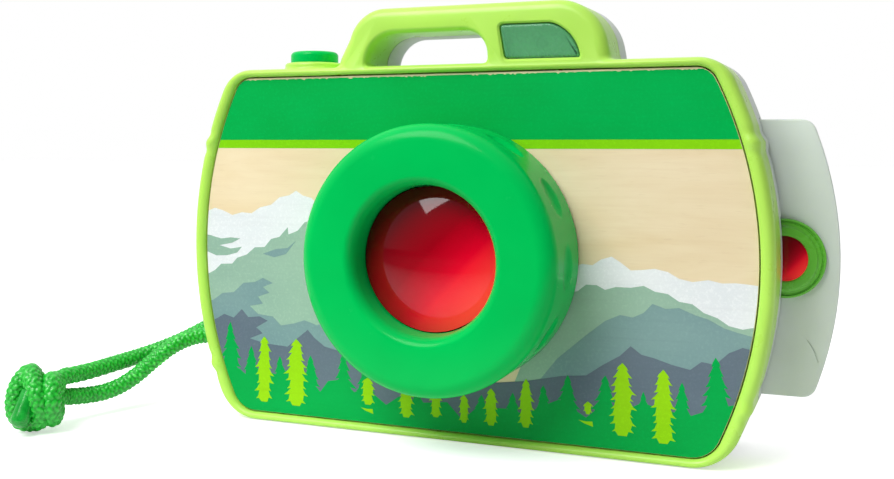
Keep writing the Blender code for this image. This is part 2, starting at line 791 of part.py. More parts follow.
def make_electronics(board, dark, steel, wire):
    plane = -3.3
    main = prism("circuit_board", rectangle(33.6, 64.0, 18.5, 76.5), plane, plane + 1.4, board)
    for number, (x, z) in enumerate(BOARD_POSTS, 1):
        cut(main, rod(f"board_hole_{number}", 1.3, -5.0, 5.0, 10, None, (x, 0, z)))
        screw(f"board_screw_{number}", (x, 0, z), 2.2, 0.8, -(plane + 1.4) - GAP, 6.4, steel)
    cut(main, rod("board_clearance", 37.6, -5.0, 5.0, 40, None, LENS_AXIS))
    chip_front = -(plane + 1.4) - GAP
    blob = [(0, 1.3), (2.6, 1.1), (4.6, 0.5), (5.2, 0), (0, 0)]
    blob = [(radius, chip_front - height) for radius, height in blob]
    turned("sound_chip", blob, 20, dark, (52.0, 0, 58.0))
    back = REAR - WALL - GAP
    x, z = SPEAKER_CENTRE
    profile = [
        (0, -(back - 4.4)),
        (0, -(back - 1.0)),
        (6.5, -(back - 0.6)),
        (8.6, -back),
        (10.0, -back),
        (10.0, -(back - 1.6)),
        (6.0, -(back - 1.9)),
        (6.0, -(back - 4.4)),
    ]
    turned("speaker", profile[::-1], 20, steel, (x, 0, z))
    make_leads(wire, plane, back)


def make_leads(wire, plane, back):
    behind = plane + 1.4 + 1.0
    routes = {
        "flash_lead": [
            (21.0, -3.9, 97.4),
            (21.8, -1.6, 94.6),
            (25.0, 0.0, 88.0),
            (34.0, 0.2, 81.8),
            (45.5, 0.0, 78.4),
            (48.0, behind, 70.0),
        ],
        "speaker_lead": [
            (-22.0, back - 5.5, 19.5),
            (-14.0, 5.0, 14.0),
            (6.0, 3.0, 13.4),
            (30.0, 1.0, 16.0),
            (42.0, behind, 28.0),
        ],
        "switch_lead": [
            (-35.6, -1.5, 76.8),
            (-28.0, -1.5, 79.6),
            (-8.0, 0.5, 79.4),
            (12.0, 0.5, 77.6),
            (28.0, 0.2, 69.0),
            (42.0, behind, 63.0),
        ],
        "battery_lead": [
            (-33.9, 2.0, 64.0),
            (-28.0, 2.4, 70.0),
            (-10.0, 3.6, 74.0),
            (10.0, 3.6, 73.4),
            (26.0, 2.0, 64.0),
            (42.0, behind, 57.0),
        ],
    }
    for name, route in routes.items():
        tube(name, smooth_route(route, 6.0), LEAD_RADIUS, wire, sides=0)


# ---------------------------------------------------------------- batteries


def make_batteries(white, jacket, steel):
    for number, x in enumerate(CELL_X, 1):
        profile = [
            (0, CELL_Z),
            (CELL_RADIUS - 0.5, CELL_Z),
            (CELL_RADIUS, CELL_Z + 0.5),
            (CELL_RADIUS, CELL_NUB - 1.5),
            (CELL_RADIUS - 0.5, CELL_NUB - 1.0),
            (1.9, CELL_NUB - 1.0),
            (1.9, CELL_NUB),
            (0, CELL_NUB),
        ]
        place = (x, CELL_Y, 0)
        turned(f"battery_{number}", profile, 18, jacket, place, True)
        spring_low = TRAY_Z[0] + TRAY_WALL + GAP
        coil(f"battery_spring_{number}", place, 3.2, 0.4, spring_low, CELL_Z - GAP, 2.5, steel)
        plate_z = (CELL_NUB + GAP, CELL_NUB + GAP + 0.6)
        plate_y = (CELL_Y - 4.0, CELL_Y + 4.0)
        block(f"battery_contact_{number}", (x - 4.4, x + 4.4), plate_y, plate_z, steel)
    make_tray(white)
    make_door(white, steel)


def make_tray(white):
    tray = block("battery_tray", TRAY_X, TRAY_Y, TRAY_Z, white)
    hollow_x = (TRAY_X[0] + TRAY_WALL, TRAY_X[1] - TRAY_WALL)
    hollow_y = (TRAY_Y[0] + TRAY_WALL, TRAY_Y[1] + 5.0)
    hollow_z = (TRAY_Z[0] + TRAY_WALL, TRAY_Z[1] - TRAY_WALL)
    cut(tray, block("tray_hollow", hollow_x, hollow_y, hollow_z))
    screw_x, screw_z = DOOR_SCREW
    boss_x = (screw_x - 3.8, screw_x + 3.8)
    boss_z = (TRAY_Z[1] - 0.5, screw_z + 3.8)
    join(tray, block("door_screw_boss", boss_x, (3.0, TRAY_Y[1]), boss_z))
    cut(tray, rod("door_boss_bore", 2.1, -20.0, 0.0, 12, None, (screw_x, 0, screw_z)))


def make_door(white, steel):
    """The battery door, which turns about its lower edge, with two tabs behind the shell's wall."""
    hinge = (0.5 * (DOOR_X[0] + DOOR_X[1]), REAR, DOOR_Z[0] - GAP)
    inside = REAR - WALL
    door = block("battery_door", DOOR_X, (inside + GAP, REAR), DOOR_Z, white, hinge)
    low = DOOR_Z[0]
    for number, x in enumerate((DOOR_X[0] + 5.0, DOOR_X[1] - 5.0), 1):
        tab_x = (x - 2.5, x + 2.5)
        root_y = (inside - 1.0, inside + 1.0)
        root = block(f"door_tab_root_{number}", tab_x, root_y, (low + 0.6, low + 4.0))
        tab = block(f"door_tab_{number}", tab_x, (inside - 1.6, inside - GAP), (low - 3.0, low + 4.0))
        join(door, root, tab)
    screw_place = (DOOR_SCREW[0], 0, DOOR_SCREW[1])
    recess_floor = inside
    join(door, rod("door_boss", 4.2, -(recess_floor + 1.0), 1.3 - recess_floor, 16, None, screw_place))
    cut(door, rod("door_screw_bore", 1.5, -20.0, 0.0, 12, None, screw_place))
    cut(door, rod("door_screw_recess", 2.8, -20.0, -recess_floor, 16, None, screw_place))
    screw("door_screw", screw_place, 2.4, 1.2, -(recess_floor + GAP), -5.0, steel)


# ---------------------------------------------------------------- eyepiece, fasteners, strap


def make_eyepiece(green, clear):
    face = -(REAR + GAP)
    flange = EYEPIECE_RADIUS + 2.6
    profile = [
        (EYEPIECE_BORE, face + 3.2),
        (EYEPIECE_RADIUS, face + 3.2),
        (EYEPIECE_RADIUS, face),
        (flange, face),
        (flange, face - 1.0),
        (flange - 0.8, face - 1.8),
        (EYEPIECE_BORE + 0.8, face - 1.8),
        (EYEPIECE_BORE, face - 0.9),
    ]
    turned("eyepiece_ring", profile, 28, green, LENS_AXIS)
    rod("eyepiece_lens", EYEPIECE_BORE - GAP, face + 1.0, face + 2.2, 32, clear, LENS_AXIS)


def make_fasteners(steel):
    for number, (x, z) in enumerate(SCREW_PLACES, 1):
        screw(f"shell_screw_{number}", (x, 0, z), 2.5, 1.15, SCREW_SEAT - GAP, 6.8, steel)


def make_strap(cord_green, steel):
    rod("strap_pin", 1.0, -11.2, -1.5, 12, steel, (PIN_X, 0, CORD_Z))
    bend = arc(PIN_X + 0.6, CORD_Z, CORD_SPREAD, -90, 90, 10)
    ends = [(PIN_X, CORD_Z - CORD_SPREAD), (PIN_X, CORD_Z + CORD_SPREAD)]
    turn = [(x, CORD_Y, z) for x, z in ends[:1] + bend + ends[1:]]
    tube("cord_turn", turn, CORD_RADIUS, cord_green)
    start_x = PIN_X - 3 * GAP
    for name, route in CORD_ROUTES.items():
        side = 1 if name == "cord_back" else -1
        start_z = CORD_Z + side * CORD_SPREAD
        straight = [(start_x, CORD_Y, start_z), (start_x - 2.2, CORD_Y, start_z)]
        tube(name, smooth_route(straight + route, 5.0), CORD_RADIUS, cord_green)
    make_knot(cord_green)


def make_knot(cord_green):
    """The overhand knot as one rounded lump."""
    data = bmesh.new()
    bmesh.ops.create_icosphere(data, subdivisions=3, radius=1.0)
    for vertex in data.verts:
        vertex.co.x *= 8.6
        vertex.co.y *= 8.4
        vertex.co.z *= 8.3
    add("cord_knot", data, cord_green, KNOT_CENTRE)


def clear_scene():
    for thing in list(bpy.data.objects):
        bpy.data.objects.remove(thing, do_unlink=True)


def main():
    clear_scene()
    lime = finish("lime_plastic", (0.50, 0.85, 0.16), 0.35)
    white = finish("white_plastic", (0.82, 0.88, 0.84), 0.35)
    wood = finish("printed_plywood", (0.85, 0.72, 0.50), 0.55)
    green = finish("green_plastic", (0.0, 0.58, 0.12), 0.25)
    red = finish("red_lens", (0.75, 0.02, 0.03), 0.05, alpha=0.6)
    tint = finish("green_lens", (0.15, 0.55, 0.25), 0.1, alpha=0.6)
    clear = finish("clear_lens", (0.9, 0.95, 0.95), 0.05, alpha=0.4)
    dark = finish("dark_plastic", (0.05, 0.05, 0.05), 0.5)
    steel = finish("zinc_steel", (0.6, 0.6, 0.62), 0.35, 1.0)
    silver = finish("silvered_plastic", (0.85, 0.86, 0.86), 0.15, 1.0)
    board = finish("circuit_board", (0.02, 0.25, 0.08), 0.5)
    wire = finish("wire_jacket", (0.65, 0.03, 0.03), 0.45)
    jacket = finish("battery_jacket", (0.12, 0.12, 0.14), 0.35)
    braid = finish("braided_cord", (0.02, 0.55, 0.08), 0.6)

    make_front_shell(lime)
    make_rear_shell(white)
    make_front_panel(wood)
    make_lens(green, red, dark, steel)
    make_slide(white, green, red)
    make_flash(tint, silver, clear)
    make_button(green, steel, dark, board)
    make_electronics(board, dark, steel, wire)
    make_batteries(white, jacket, steel)
    make_eyepiece(green, clear)
    make_fasteners(steel)
    make_strap(braid, steel)


main()
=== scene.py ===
"""The looks of a child's pretend camera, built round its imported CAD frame.

All the shapes below are in millimetres in the row frame: X to the right as the front is seen, Y from
the front to the back, Z up. They become metres when an object is made. Angles are in degrees.
"""

import math
import random

import bmesh
import bpy
import numpy as np
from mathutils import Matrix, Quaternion, Vector
from mathutils.bvhtree import BVHTree
from mathutils.kdtree import KDTree


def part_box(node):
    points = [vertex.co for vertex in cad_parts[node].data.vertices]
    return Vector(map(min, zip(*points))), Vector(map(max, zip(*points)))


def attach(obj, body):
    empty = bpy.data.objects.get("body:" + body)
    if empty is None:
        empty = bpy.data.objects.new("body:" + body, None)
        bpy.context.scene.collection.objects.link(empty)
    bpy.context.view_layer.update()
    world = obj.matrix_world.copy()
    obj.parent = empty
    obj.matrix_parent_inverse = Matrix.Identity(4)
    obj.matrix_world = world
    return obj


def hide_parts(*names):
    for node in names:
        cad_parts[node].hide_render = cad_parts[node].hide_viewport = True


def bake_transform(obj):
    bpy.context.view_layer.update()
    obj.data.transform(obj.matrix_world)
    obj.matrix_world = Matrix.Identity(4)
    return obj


MM = 0.001
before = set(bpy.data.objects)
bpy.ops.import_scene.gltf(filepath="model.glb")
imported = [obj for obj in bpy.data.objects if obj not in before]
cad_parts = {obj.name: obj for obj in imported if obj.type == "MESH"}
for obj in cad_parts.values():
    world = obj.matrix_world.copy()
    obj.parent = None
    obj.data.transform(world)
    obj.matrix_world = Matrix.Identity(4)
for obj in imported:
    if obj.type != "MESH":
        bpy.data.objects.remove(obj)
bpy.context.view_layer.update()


def limits(node):
    """The lowest and highest corner of a CAD node, in millimetres."""
    low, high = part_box(node)
    return [value / MM for value in low], [value / MM for value in high]


# Driving places, read from the frame.
FRONT = limits("front_shell")[0][1]
(_, SEAM_REAR, _), (HALF_WIDTH, REAR, HANDLE_TOP) = limits("rear_shell")
(_, PANEL_FRONT, PANEL_LOW), (PANEL_HALF_WIDTH, PANEL_BACK, PANEL_HIGH) = limits("front_panel")
HEIGHT = PANEL_LOW + PANEL_HIGH
(_, RING_FRONT, RING_LOW), (RING_RADIUS, NECK_BACK, RING_HIGH) = limits("lens_ring")
AXIS_Z = 0.5 * (RING_LOW + RING_HIGH)
(BUTTON_LEFT, BUTTON_NEAR, BUTTON_LOW), (BUTTON_RIGHT, BUTTON_FAR, BUTTON_TOP) = limits("shutter_button")
BUTTON_X = 0.5 * (BUTTON_LEFT + BUTTON_RIGHT)
BUTTON_Y = 0.5 * (BUTTON_NEAR + BUTTON_FAR)
BUTTON_RADIUS = 0.5 * (BUTTON_RIGHT - BUTTON_LEFT)
(_, SLIDE_FRONT, _), (SLIDE_REACH, SLIDE_BACK, _) = limits("filter_slide")
(BEZEL_LEFT, BEZEL_FRONT, _), (BEZEL_RIGHT, BEZEL_BACK, _) = limits("slide_bezel")
WINDOW_X = 0.5 * (BEZEL_LEFT + BEZEL_RIGHT)
BEZEL_RADIUS = 0.5 * (BEZEL_RIGHT - BEZEL_LEFT)
LENS_CENTRE = (0, 0, AXIS_Z)
WINDOW_CENTRE = (WINDOW_X, 0, AXIS_Z)
BUTTON_PLACE = (BUTTON_X, BUTTON_Y)

# Sizes of the moulded parts, which the frame's boxes don't say.
GAP = 0.3
RING_BACK = -13.6
SEAM_FRONT = SEAM_REAR - GAP
WALL = 2.2
SIDE_RADIUS = 100.0
LOW_CORNER = 12.0
HIGH_CORNER = 9.0
RIDGE_PLACES = (13.8, 73.3)

HANDLE_FRONT = -14.0
HANDLE_REAR = 8.9
HANDLE_WALL = 2.4
HOLLOW_FOOT = 86.0
OPENING_LEFT = -24.0
OPENING_RIGHT = 8.2
OPENING_TOP = HANDLE_TOP - 6.5
DECK_FRONT = PANEL_BACK + GAP
DECK_BACK = DECK_FRONT + 2.0
PEDESTAL_RADIUS = 7.8
PEDESTAL_TOP = 94.4
PRINT_FOOT = 2.3  # the height of the printed panel's lower edge
NECK_BORE = 17.2
NECK_HOLE = 19.9
SCREW_PLACES = ((-57.0, 84.6), (0.0, 86.0), (57.0, 84.6), (-56.0, 8.0), (0.0, 7.4), (56.0, 8.0))
DOOR_X = (-61.2, -35.2)
DOOR_Z = (16.2, 79.8)
DOOR_SCREW = (-48.2, 75.2)


def tone(red, green, blue):
    """A colour on a display's scale of 0 to 255, as the shaders' linear light."""
    result = []
    for value in (red / 255, green / 255, blue / 255):
        result.append(value / 12.92 if value <= 0.04045 else ((value + 0.055) / 1.055) ** 2.4)
    return tuple(result)


# ---------------------------------------------------------------- outlines


def arc(centre_x, centre_z, radius, start, end, steps):
    """Points along an arc, both ends included."""
    angles = np.radians(np.linspace(start, end, steps + 1))
    return [(centre_x + radius * math.cos(a), centre_z + radius * math.sin(a)) for a in angles]


def barrel_outline(half_width, low, high, side_radius, low_corner, high_corner):
    """A shape with flat top and bottom, bowed sides and rounded corners, anticlockwise."""
    middle = (low + high) / 2
    side_x = half_width - side_radius

    def corner(radius, centre_z):
        reach = math.sqrt((side_radius - radius) ** 2 - (centre_z - middle) ** 2)
        return side_x + reach, centre_z, math.degrees(math.atan2(centre_z - middle, reach))

    low_x, low_z, low_angle = corner(low_corner, low + low_corner)
    high_x, high_z, high_angle = corner(high_corner, high - high_corner)
    right = arc(low_x, low_z, low_corner, -90, low_angle, 20)
    right += arc(side_x, middle, side_radius, low_angle, high_angle, 60)[1:-1]
    right += arc(high_x, high_z, high_corner, high_angle, 90, 20)
    return right + [(-x, z) for x, z in reversed(right)]


def body_outline(inset=0.0):
    outline = barrel_outline(HALF_WIDTH, 0.0, HEIGHT, SIDE_RADIUS, LOW_CORNER, HIGH_CORNER)
    return grown(outline, -inset) if inset else outline


def panel_outline(inset=0.0):
    outline = barrel_outline(PANEL_HALF_WIDTH, PANEL_LOW, PANEL_HIGH, SIDE_RADIUS - 4.0, 7.0, 5.0)
    return grown(outline, -inset) if inset else outline


def handle_outline(foot):
    """The arch of the handle, as one band round the finger opening, with its feet at height foot."""
    left, right, top = OPENING_LEFT, OPENING_RIGHT, OPENING_TOP
    band = [(-33.8, foot)]
    band += arc(-19.5, HANDLE_TOP - 10.0, 10.0, 165, 90, 18)
    band += arc(25.5, HANDLE_TOP - 12.5, 12.5, 90, 8, 22)
    band += [(39.0, foot), (right, foot)]
    band += arc(right - 6.0, top - 6.0, 6.0, 0, 90, 14)
    band += arc(left + 8.0, top - 8.0, 8.0, 90, 180, 18)
    band += [(left, foot)]
    return anticlockwise(band)


def flash_outline():
    outline = [(11.8, 101.6), (13.2, 93.6)]
    outline += arc(21.9, 92.2, 9.6, 8, 76, 18)
    return rounded(anticlockwise(outline), 0.9)


def slide_outline():
    """The filter plate: a bowed outer edge, rounded corners and two ears that stop it."""
    low, high, tail = 13.7, 78.8, 32.0
    middle = (low + high) / 2
    bow, corner = 88.0, 3.5
    bow_x = SLIDE_REACH - bow
    height = high - corner - middle
    corner_x = bow_x + math.sqrt((bow - corner) ** 2 - height**2)
    lean = math.degrees(math.atan2(height, corner_x - bow_x))
    edge = arc(corner_x, low + corner, corner, -90, -lean, 14)
    edge += arc(bow_x, middle, bow, -lean, lean, 60)[1:-1]
    edge += arc(corner_x, high - corner, corner, lean, 90, 14)
    ears = [(tail + 3, high), (tail + 3, high + 1), (tail, high + 1), (tail, low - 1)]
    return edge + ears + [(tail + 3, low - 1), (tail + 3, low)]


def anticlockwise(outline):
    following = outline[1:] + outline[:1]
    area = sum(a[0] * b[1] - b[0] * a[1] for a, b in zip(outline, following))
    return outline if area > 0 else outline[::-1]


def grown(outline, distance):
    """The outline moved out by a distance, or in by a negative one."""
    result = []
    for before, point, after in zip(outline[-1:] + outline[:-1], outline, outline[1:] + outline[:1]):
        normals = []
        for start, end in ((before, point), (point, after)):
            length = math.hypot(end[0] - start[0], end[1] - start[1])
            normals.append(((end[1] - start[1]) / length, (start[0] - end[0]) / length))
        (ax, az), (bx, bz) = normals
        reach = distance / (1 + ax * bx + az * bz)
        result.append((point[0] + (ax + bx) * reach, point[1] + (az + bz) * reach))
    return result


def rounded(outline, radius):
    """The outline with each corner sharper than 20 degrees rounded off."""
    steps = 5
    result = []
    for before, point, after in zip(outline[-1:] + outline[:-1], outline, outline[1:] + outline[:1]):
        p = Vector(point)
        to_before, to_after = (Vector(before) - p), (Vector(after) - p)
        turn = math.pi - to_before.angle(to_after)
        if turn < math.radians(20):
            result.append(point)
            continue
        reach = min(radius * math.tan(turn / 2), 0.45 * to_before.length, 0.45 * to_after.length)
        start = p + to_before.normalized() * reach
        end = p + to_after.normalized() * reach
        for i in range(steps + 1):
            t = i / steps
            result.append(tuple(start * (1 - t) ** 2 + 2 * p * t * (1 - t) + end * t**2))
    return result


def resampled(outline, spacing):
    """The closed outline with points at an even spacing."""
    points = np.array(outline + outline[:1])
    along = np.concatenate([[0], np.cumsum(np.linalg.norm(np.diff(points, axis=0), axis=1))])
    at = np.linspace(0, along[-1], int(along[-1] / spacing) + 1)[:-1]
    return list(zip(*(np.interp(at, along, points[:, k]).tolist() for k in (0, 1))))


def between(first, second, share):
    return [(a[0] + (b[0] - a[0]) * share, a[1] + (b[1] - a[1]) * share) for a, b in zip(first, second)]


def quarter(steps):
    """The sine and cosine at even steps of a quarter turn."""
    angles = [math.pi / 2 * i / steps for i in range(steps + 1)]
    return [(math.sin(angle), math.cos(angle)) for angle in angles]


def rounded_rim(outline, reach, steps, face, way=1):
    """Rings that round an outline over, from its flat face at a place along the axis."""
    return [(grown(outline, -reach * (1 - s)), face + way * reach * (1 - c)) for s, c in quarter(steps)]


# ---------------------------------------------------------------- solids


def to_object(name, data, material=None, sharp=32):
    """An object from a bmesh in millimetres, with its faces pointing out."""
    bmesh.ops.scale(data, vec=(MM, MM, MM), verts=data.verts)
    bmesh.ops.recalc_face_normals(data, faces=data.faces)
    if data.calc_volume(signed=True) < 0:
        bmesh.ops.reverse_faces(data, faces=data.faces)
    mesh = bpy.data.meshes.new(name)
    data.to_mesh(mesh)
    data.free()
    mesh.shade_smooth()
    mesh.set_sharp_from_angle(angle=math.radians(sharp))
    if material:
        mesh.materials.append(material)
    result = bpy.data.objects.new(name, mesh)
    bpy.context.scene.collection.objects.link(result)
    return result


def skin(name, rings, material=None, sharp=32):
    """A closed solid through rings of points in space, each with as many points as the next."""
    data = bmesh.new()
    loops = [[data.verts.new(point) for point in ring] for ring in rings]
    for first, second in zip(loops, loops[1:]):
        for i in range(len(first)):
            j = (i + 1) % len(first)
            data.faces.new((first[i], first[j], second[j], second[i]))
    data.faces.new(loops[0])
    data.faces.new(loops[-1])
    return to_object(name, data, material, sharp)


def loft(name, rings, material=None, axis="Y", sharp=32):
    """A closed solid through outlines, each at its own place along the Y axis, or along X."""
    points = []
    for outline, along in rings:
        points.append([(along, a, z) if axis == "X" else (a, along, z) for a, z in outline])
    return skin(name, points, material, sharp)


def prism(name, outline, near, far):
    return loft(name, [(outline, near), (outline, far)])


def rectangle(x, z):
    return [(x[0], z[0]), (x[1], z[0]), (x[1], z[1]), (x[0], z[1])]


def block(name, x, y, z):
    return prism(name, rectangle(x, z), y[0], y[1])


def turned(name, profile, steps, material=None, centre=(0, 0, 0), upright=False, shape=None, sharp=32):
    """A solid turned from a closed profile of (radius, place along the axis).

    The axis is Y, or Z if upright. shape(angle, radius, along) may change a point's radius.
    """
    data = bmesh.new()
    loops = []
    for radius, along in profile:
        loop = []
        for i in range(steps if radius else 1):
            angle = 2 * math.pi * i / steps
            r = shape(angle, radius, along) if shape else radius
            side = (r * math.cos(angle), r * math.sin(angle))
            if upright:
                point = (centre[0] + side[0], centre[1] + side[1], centre[2] + along)
            else:
                point = (centre[0] + side[0], centre[1] + along, centre[2] + side[1])
            loop.append(data.verts.new(point))
        loops.append(loop if radius else loop * steps)
    for first, second in zip(loops, loops[1:] + loops[:1]):
        for i in range(steps):
            j = (i + 1) % steps
            corners = list(dict.fromkeys((first[i], first[j], second[j], second[i])))
            if len(corners) > 2:
                data.faces.new(corners)
    return to_object(name, data, material, sharp)


def settle(target):
    """Turns the object's modifiers into its mesh."""
    graph = bpy.context.evaluated_depsgraph_get()
    mesh = bpy.data.meshes.new_from_object(target.evaluated_get(graph))
    target.modifiers.clear()
    old = target.data
    target.data = mesh
    bpy.data.meshes.remove(old)


def combine(target, tools, operation, solver="MANIFOLD", sharp=32):
    """Joins, cuts or crosses the target with the tools, and removes them."""
    for tool in tools:
        modifier = target.modifiers.new(tool.name, "BOOLEAN")
        modifier.operation = operation
        modifier.solver = solver
        modifier.object = tool
    settle(target)
    for tool in tools:
        bpy.data.objects.remove(tool, do_unlink=True)
    target.data.shade_smooth()
    target.data.set_sharp_from_angle(angle=math.radians(sharp))
    return target


def cut(target, *tools, solver="MANIFOLD"):
    return combine(target, tools, "DIFFERENCE", solver)


def soft_join(target, tool, reach, seam, passes=14):
    """Joins a tool to the target and rounds the crease between them, as a mould's fillet does.

    The points on the seam plane stay on it, so that the two shells still meet there.
    """
    graph = bpy.context.evaluated_depsgraph_get()
    trees = [BVHTree.FromObject(thing, graph) for thing in (target, tool)]
    combine(target, [tool], "UNION")
    mesh = target.data
    count = len(mesh.vertices)
    points = np.zeros(count * 3)
    mesh.vertices.foreach_get("co", points)
    points = points.reshape(-1, 3)
    on_both = []
    for index, point in enumerate(points):
        if all(tree.find_nearest(Vector(point), 2e-5)[0] is not None for tree in trees):
            on_both.append(index)
    crease = KDTree(max(1, len(on_both)))
    for index in on_both:
        crease.insert(points[index], index)
    crease.balance()
    far = np.array([crease.find(point)[2] for point in points]) / (reach * MM)
    weight = np.clip(1.15 - far, 0, 1)
    weight = weight * weight * (3 - 2 * weight)
    edges = np.zeros(len(mesh.edges) * 2, int)
    mesh.edges.foreach_get("vertices", edges)
    edges = edges.reshape(-1, 2)
    on_seam = np.abs(points[:, 1] / MM - seam) < 0.01
    length = np.linalg.norm(points[edges[:, 0]] - points[edges[:, 1]], axis=1) / MM
    # Long edges in the seam plane cut across the flat cap, so they would pull its rim inwards.
    longest_rim_edge = 1.6
    edges = edges[~(on_seam[edges].all(axis=1) & (length > longest_rim_edge))]
    first, second = edges.T
    degree = np.maximum(np.bincount(edges.ravel(), minlength=count), 1)
    pull = 0.6 * weight[:, None]
    for _ in range(passes):
        total = np.zeros((count, 3))
        np.add.at(total, first, points[second])
        np.add.at(total, second, points[first])
        points += (total / degree[:, None] - points) * pull
        points[on_seam, 1] = seam * MM
    mesh.vertices.foreach_set("co", points.ravel())
    mesh.update()
    mesh.shade_smooth()
    mesh.set_sharp_from_angle(angle=math.radians(38))
    return target


def show(piece, body, *nodes, slot=None):
    """The piece rides on a body and stands for these CAD nodes."""
    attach(piece, body)
    if nodes:
        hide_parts(*nodes)
    return piece


# ---------------------------------------------------------------- materials


class Nodes:
    """Short names for adding shader nodes to a new material."""

    def __init__(self, name):
        self.material = bpy.data.materials.new(name)
        self.material.use_nodes = True
        self.tree = self.material.node_tree
        self.shader = self.tree.nodes["Principled BSDF"]
        self.place = self.add("ShaderNodeTexCoord").outputs["Object"]

    def add(self, kind, inputs=None, **settings):
        """A new node, with constants for its inputs and its own settings."""
        node = self.tree.nodes.new(kind)
        for key, value in (inputs or {}).items():
            node.inputs[key].default_value = value
        for key, value in settings.items():
            setattr(node, key, value)
        return node

    def link(self, source, target):
        self.tree.links.new(source, target)

    def put(self, **values):
        """Constants, set on the shader's own sockets."""
        for key, value in values.items():
            socket = self.shader.inputs[key.replace("_", " ")]
            is_colour = hasattr(socket.default_value, "__len__") and len(socket.default_value) == 4
            socket.default_value = (*value, 1.0) if is_colour and len(value) == 3 else value

    def colour(self, source):
        self.link(source, self.shader.inputs["Base Color"])

    def gloss(self, source, low, high):
        """The roughness, from a noise's usual range."""
        self.link(self.spread(source, low, high), self.shader.inputs["Roughness"])

    def stretched(self, scale):
        node = self.add("ShaderNodeMapping", {"Scale": scale})
        self.link(self.place, node.inputs["Vector"])
        return node.outputs["Vector"]

    def noise(self, scale, detail=3.0, roughness=0.5, place=None, distortion=0.0):
        values = {"Scale": scale, "Detail": detail, "Roughness": roughness, "Distortion": distortion}
        node = self.add("ShaderNodeTexNoise", values)
        self.link(place or self.place, node.inputs["Vector"])
        return node.outputs["Fac"]

    def spread(self, source, low, high, start=0.3, end=0.7):
        """A value mapped from a noise's usual range to another."""
        values = {"From Min": start, "From Max": end, "To Min": low, "To Max": high}
        node = self.add("ShaderNodeMapRange", values)
        self.link(source, node.inputs["Value"])
        return node.outputs["Result"]

    def mix(self, share, first, second):
        """A colour mix. share, first and second are sockets or constants."""
        node = self.add("ShaderNodeMix", data_type="RGBA")
        for value, place in ((share, 0), (first, 6), (second, 7)):
            socket = node.inputs[place]
            if isinstance(value, bpy.types.NodeSocket):
                self.link(value, socket)
            elif isinstance(value, tuple):
                socket.default_value = (*value, 1.0)
            else:
                socket.default_value = value
        return node.outputs[2]

    def bump(self, height, strength, distance=0.0002):
        node = self.add("ShaderNodeBump", {"Strength": strength, "Distance": distance})
        self.link(height, node.inputs["Height"])
        self.link(node.outputs["Normal"], self.shader.inputs["Normal"])

    def edges(self, low=0.52, high=0.62):
        """Where the surface turns sharply outwards."""
        pointy = self.add("ShaderNodeNewGeometry").outputs["Pointiness"]
        return self.spread(pointy, 0.0, 1.0, low, high)


def plastic(name, colour, roughness=0.3, glow=0.0, wear=0.25, sheen=0.4):
    """Moulded plastic: faint flow marks, a fine skin, uneven gloss and slightly paler worn edges."""
    n = Nodes(name)
    flow = n.noise(45.0, 2.0)
    darker = tuple(value * 0.90 for value in colour)
    paler = tuple(min(1.0, value * 1.15 + 0.004) for value in colour)
    base = n.mix(n.spread(flow, 0.0, 1.0), darker, colour)
    worn = n.mix(n.spread(n.noise(220.0, 4.0), 0.0, wear, 0.45, 0.7), base, paler)
    base = n.mix(n.edges(), base, worn)
    n.colour(base)
    scuffs = n.noise(160.0, 5.0, 0.65)
    n.gloss(scuffs, roughness - 0.05, roughness + 0.08)
    n.bump(n.noise(1400.0, 3.0), 0.04, 0.00005)
    n.put(Specular_IOR_Level=sheen)
    if glow:
        n.put(Subsurface_Weight=glow, Subsurface_Radius=(1.0, 1.0, 0.5), Subsurface_Scale=0.002)
    return n.material


def clear_plastic(name, colour, roughness=0.03, cloud=0.0):
    """Tinted clear plastic with a trace of moulding waviness. cloud is how far it hides what is behind."""
    n = Nodes(name)
    tint = n.mix(n.spread(n.noise(60.0, 2.0), 0.0, 1.0), tuple(value * 0.96 for value in colour), colour)
    n.colour(tint)
    smears = n.noise(120.0, 4.0)
    n.gloss(smears, roughness, roughness + 0.05)
    n.bump(n.noise(90.0, 1.0), 0.02, 0.0002)
    if cloud:
        n.put(Alpha=cloud)
    else:
        n.put(Transmission_Weight=1.0, IOR=1.49)
    return n.material


def painted_light_lens_plastic(name, centre, reach):
    """Deep red plastic with painted light: a painted gradient from dark red at the upper left to bright red
    at the lower right, and a painted glow there, stand in for the light that falls in from the upper left
    and gathers at the lower right.
    """
    n = Nodes(name)
    offset = n.add("ShaderNodeVectorMath", operation="SUBTRACT")
    n.link(n.place, offset.inputs[0])
    offset.inputs[1].default_value = [value * MM for value in centre]
    toward = n.add("ShaderNodeVectorMath", operation="DOT_PRODUCT")
    n.link(offset.outputs[0], toward.inputs[0])
    toward.inputs[1].default_value = (0.72, 0.0, -0.69)
    reach = reach * MM
    # Painted shade and light: the base colour runs from dark red, painted shade, to bright red, painted
    # light, towards the lower right.
    dark = base = (0.09, 0.0, 0.002)
    steps = (
        (-0.75, 0.0, (0.36, 0.0, 0.008)),
        (-0.05, 0.5, (0.85, 0.0, 0.022)),
        (0.4, 0.95, (1.0, 0.05, 0.035)),
    )
    for start, end, colour in steps:
        base = n.mix(n.spread(toward.outputs["Value"], 0, 1, start * reach, end * reach), base, colour)
    # Painted glow: emission that grows towards the lower right, standing in for the light gathered there.
    painted_glow = n.spread(toward.outputs["Value"], 0.0, 0.5, 0.2 * reach, 0.9 * reach)
    n.link(base, n.shader.inputs["Emission Color"])
    n.link(painted_glow, n.shader.inputs["Emission Strength"])
    base = n.mix(n.spread(n.noise(60.0, 2.0), 0.0, 0.15), base, dark)
    n.colour(base)
    n.gloss(n.noise(120.0, 4.0), 0.03, 0.07)
    n.bump(n.noise(70.0, 1.0), 0.02, 0.0002)
    n.put(Specular_IOR_Level=0.32)
    return n.material


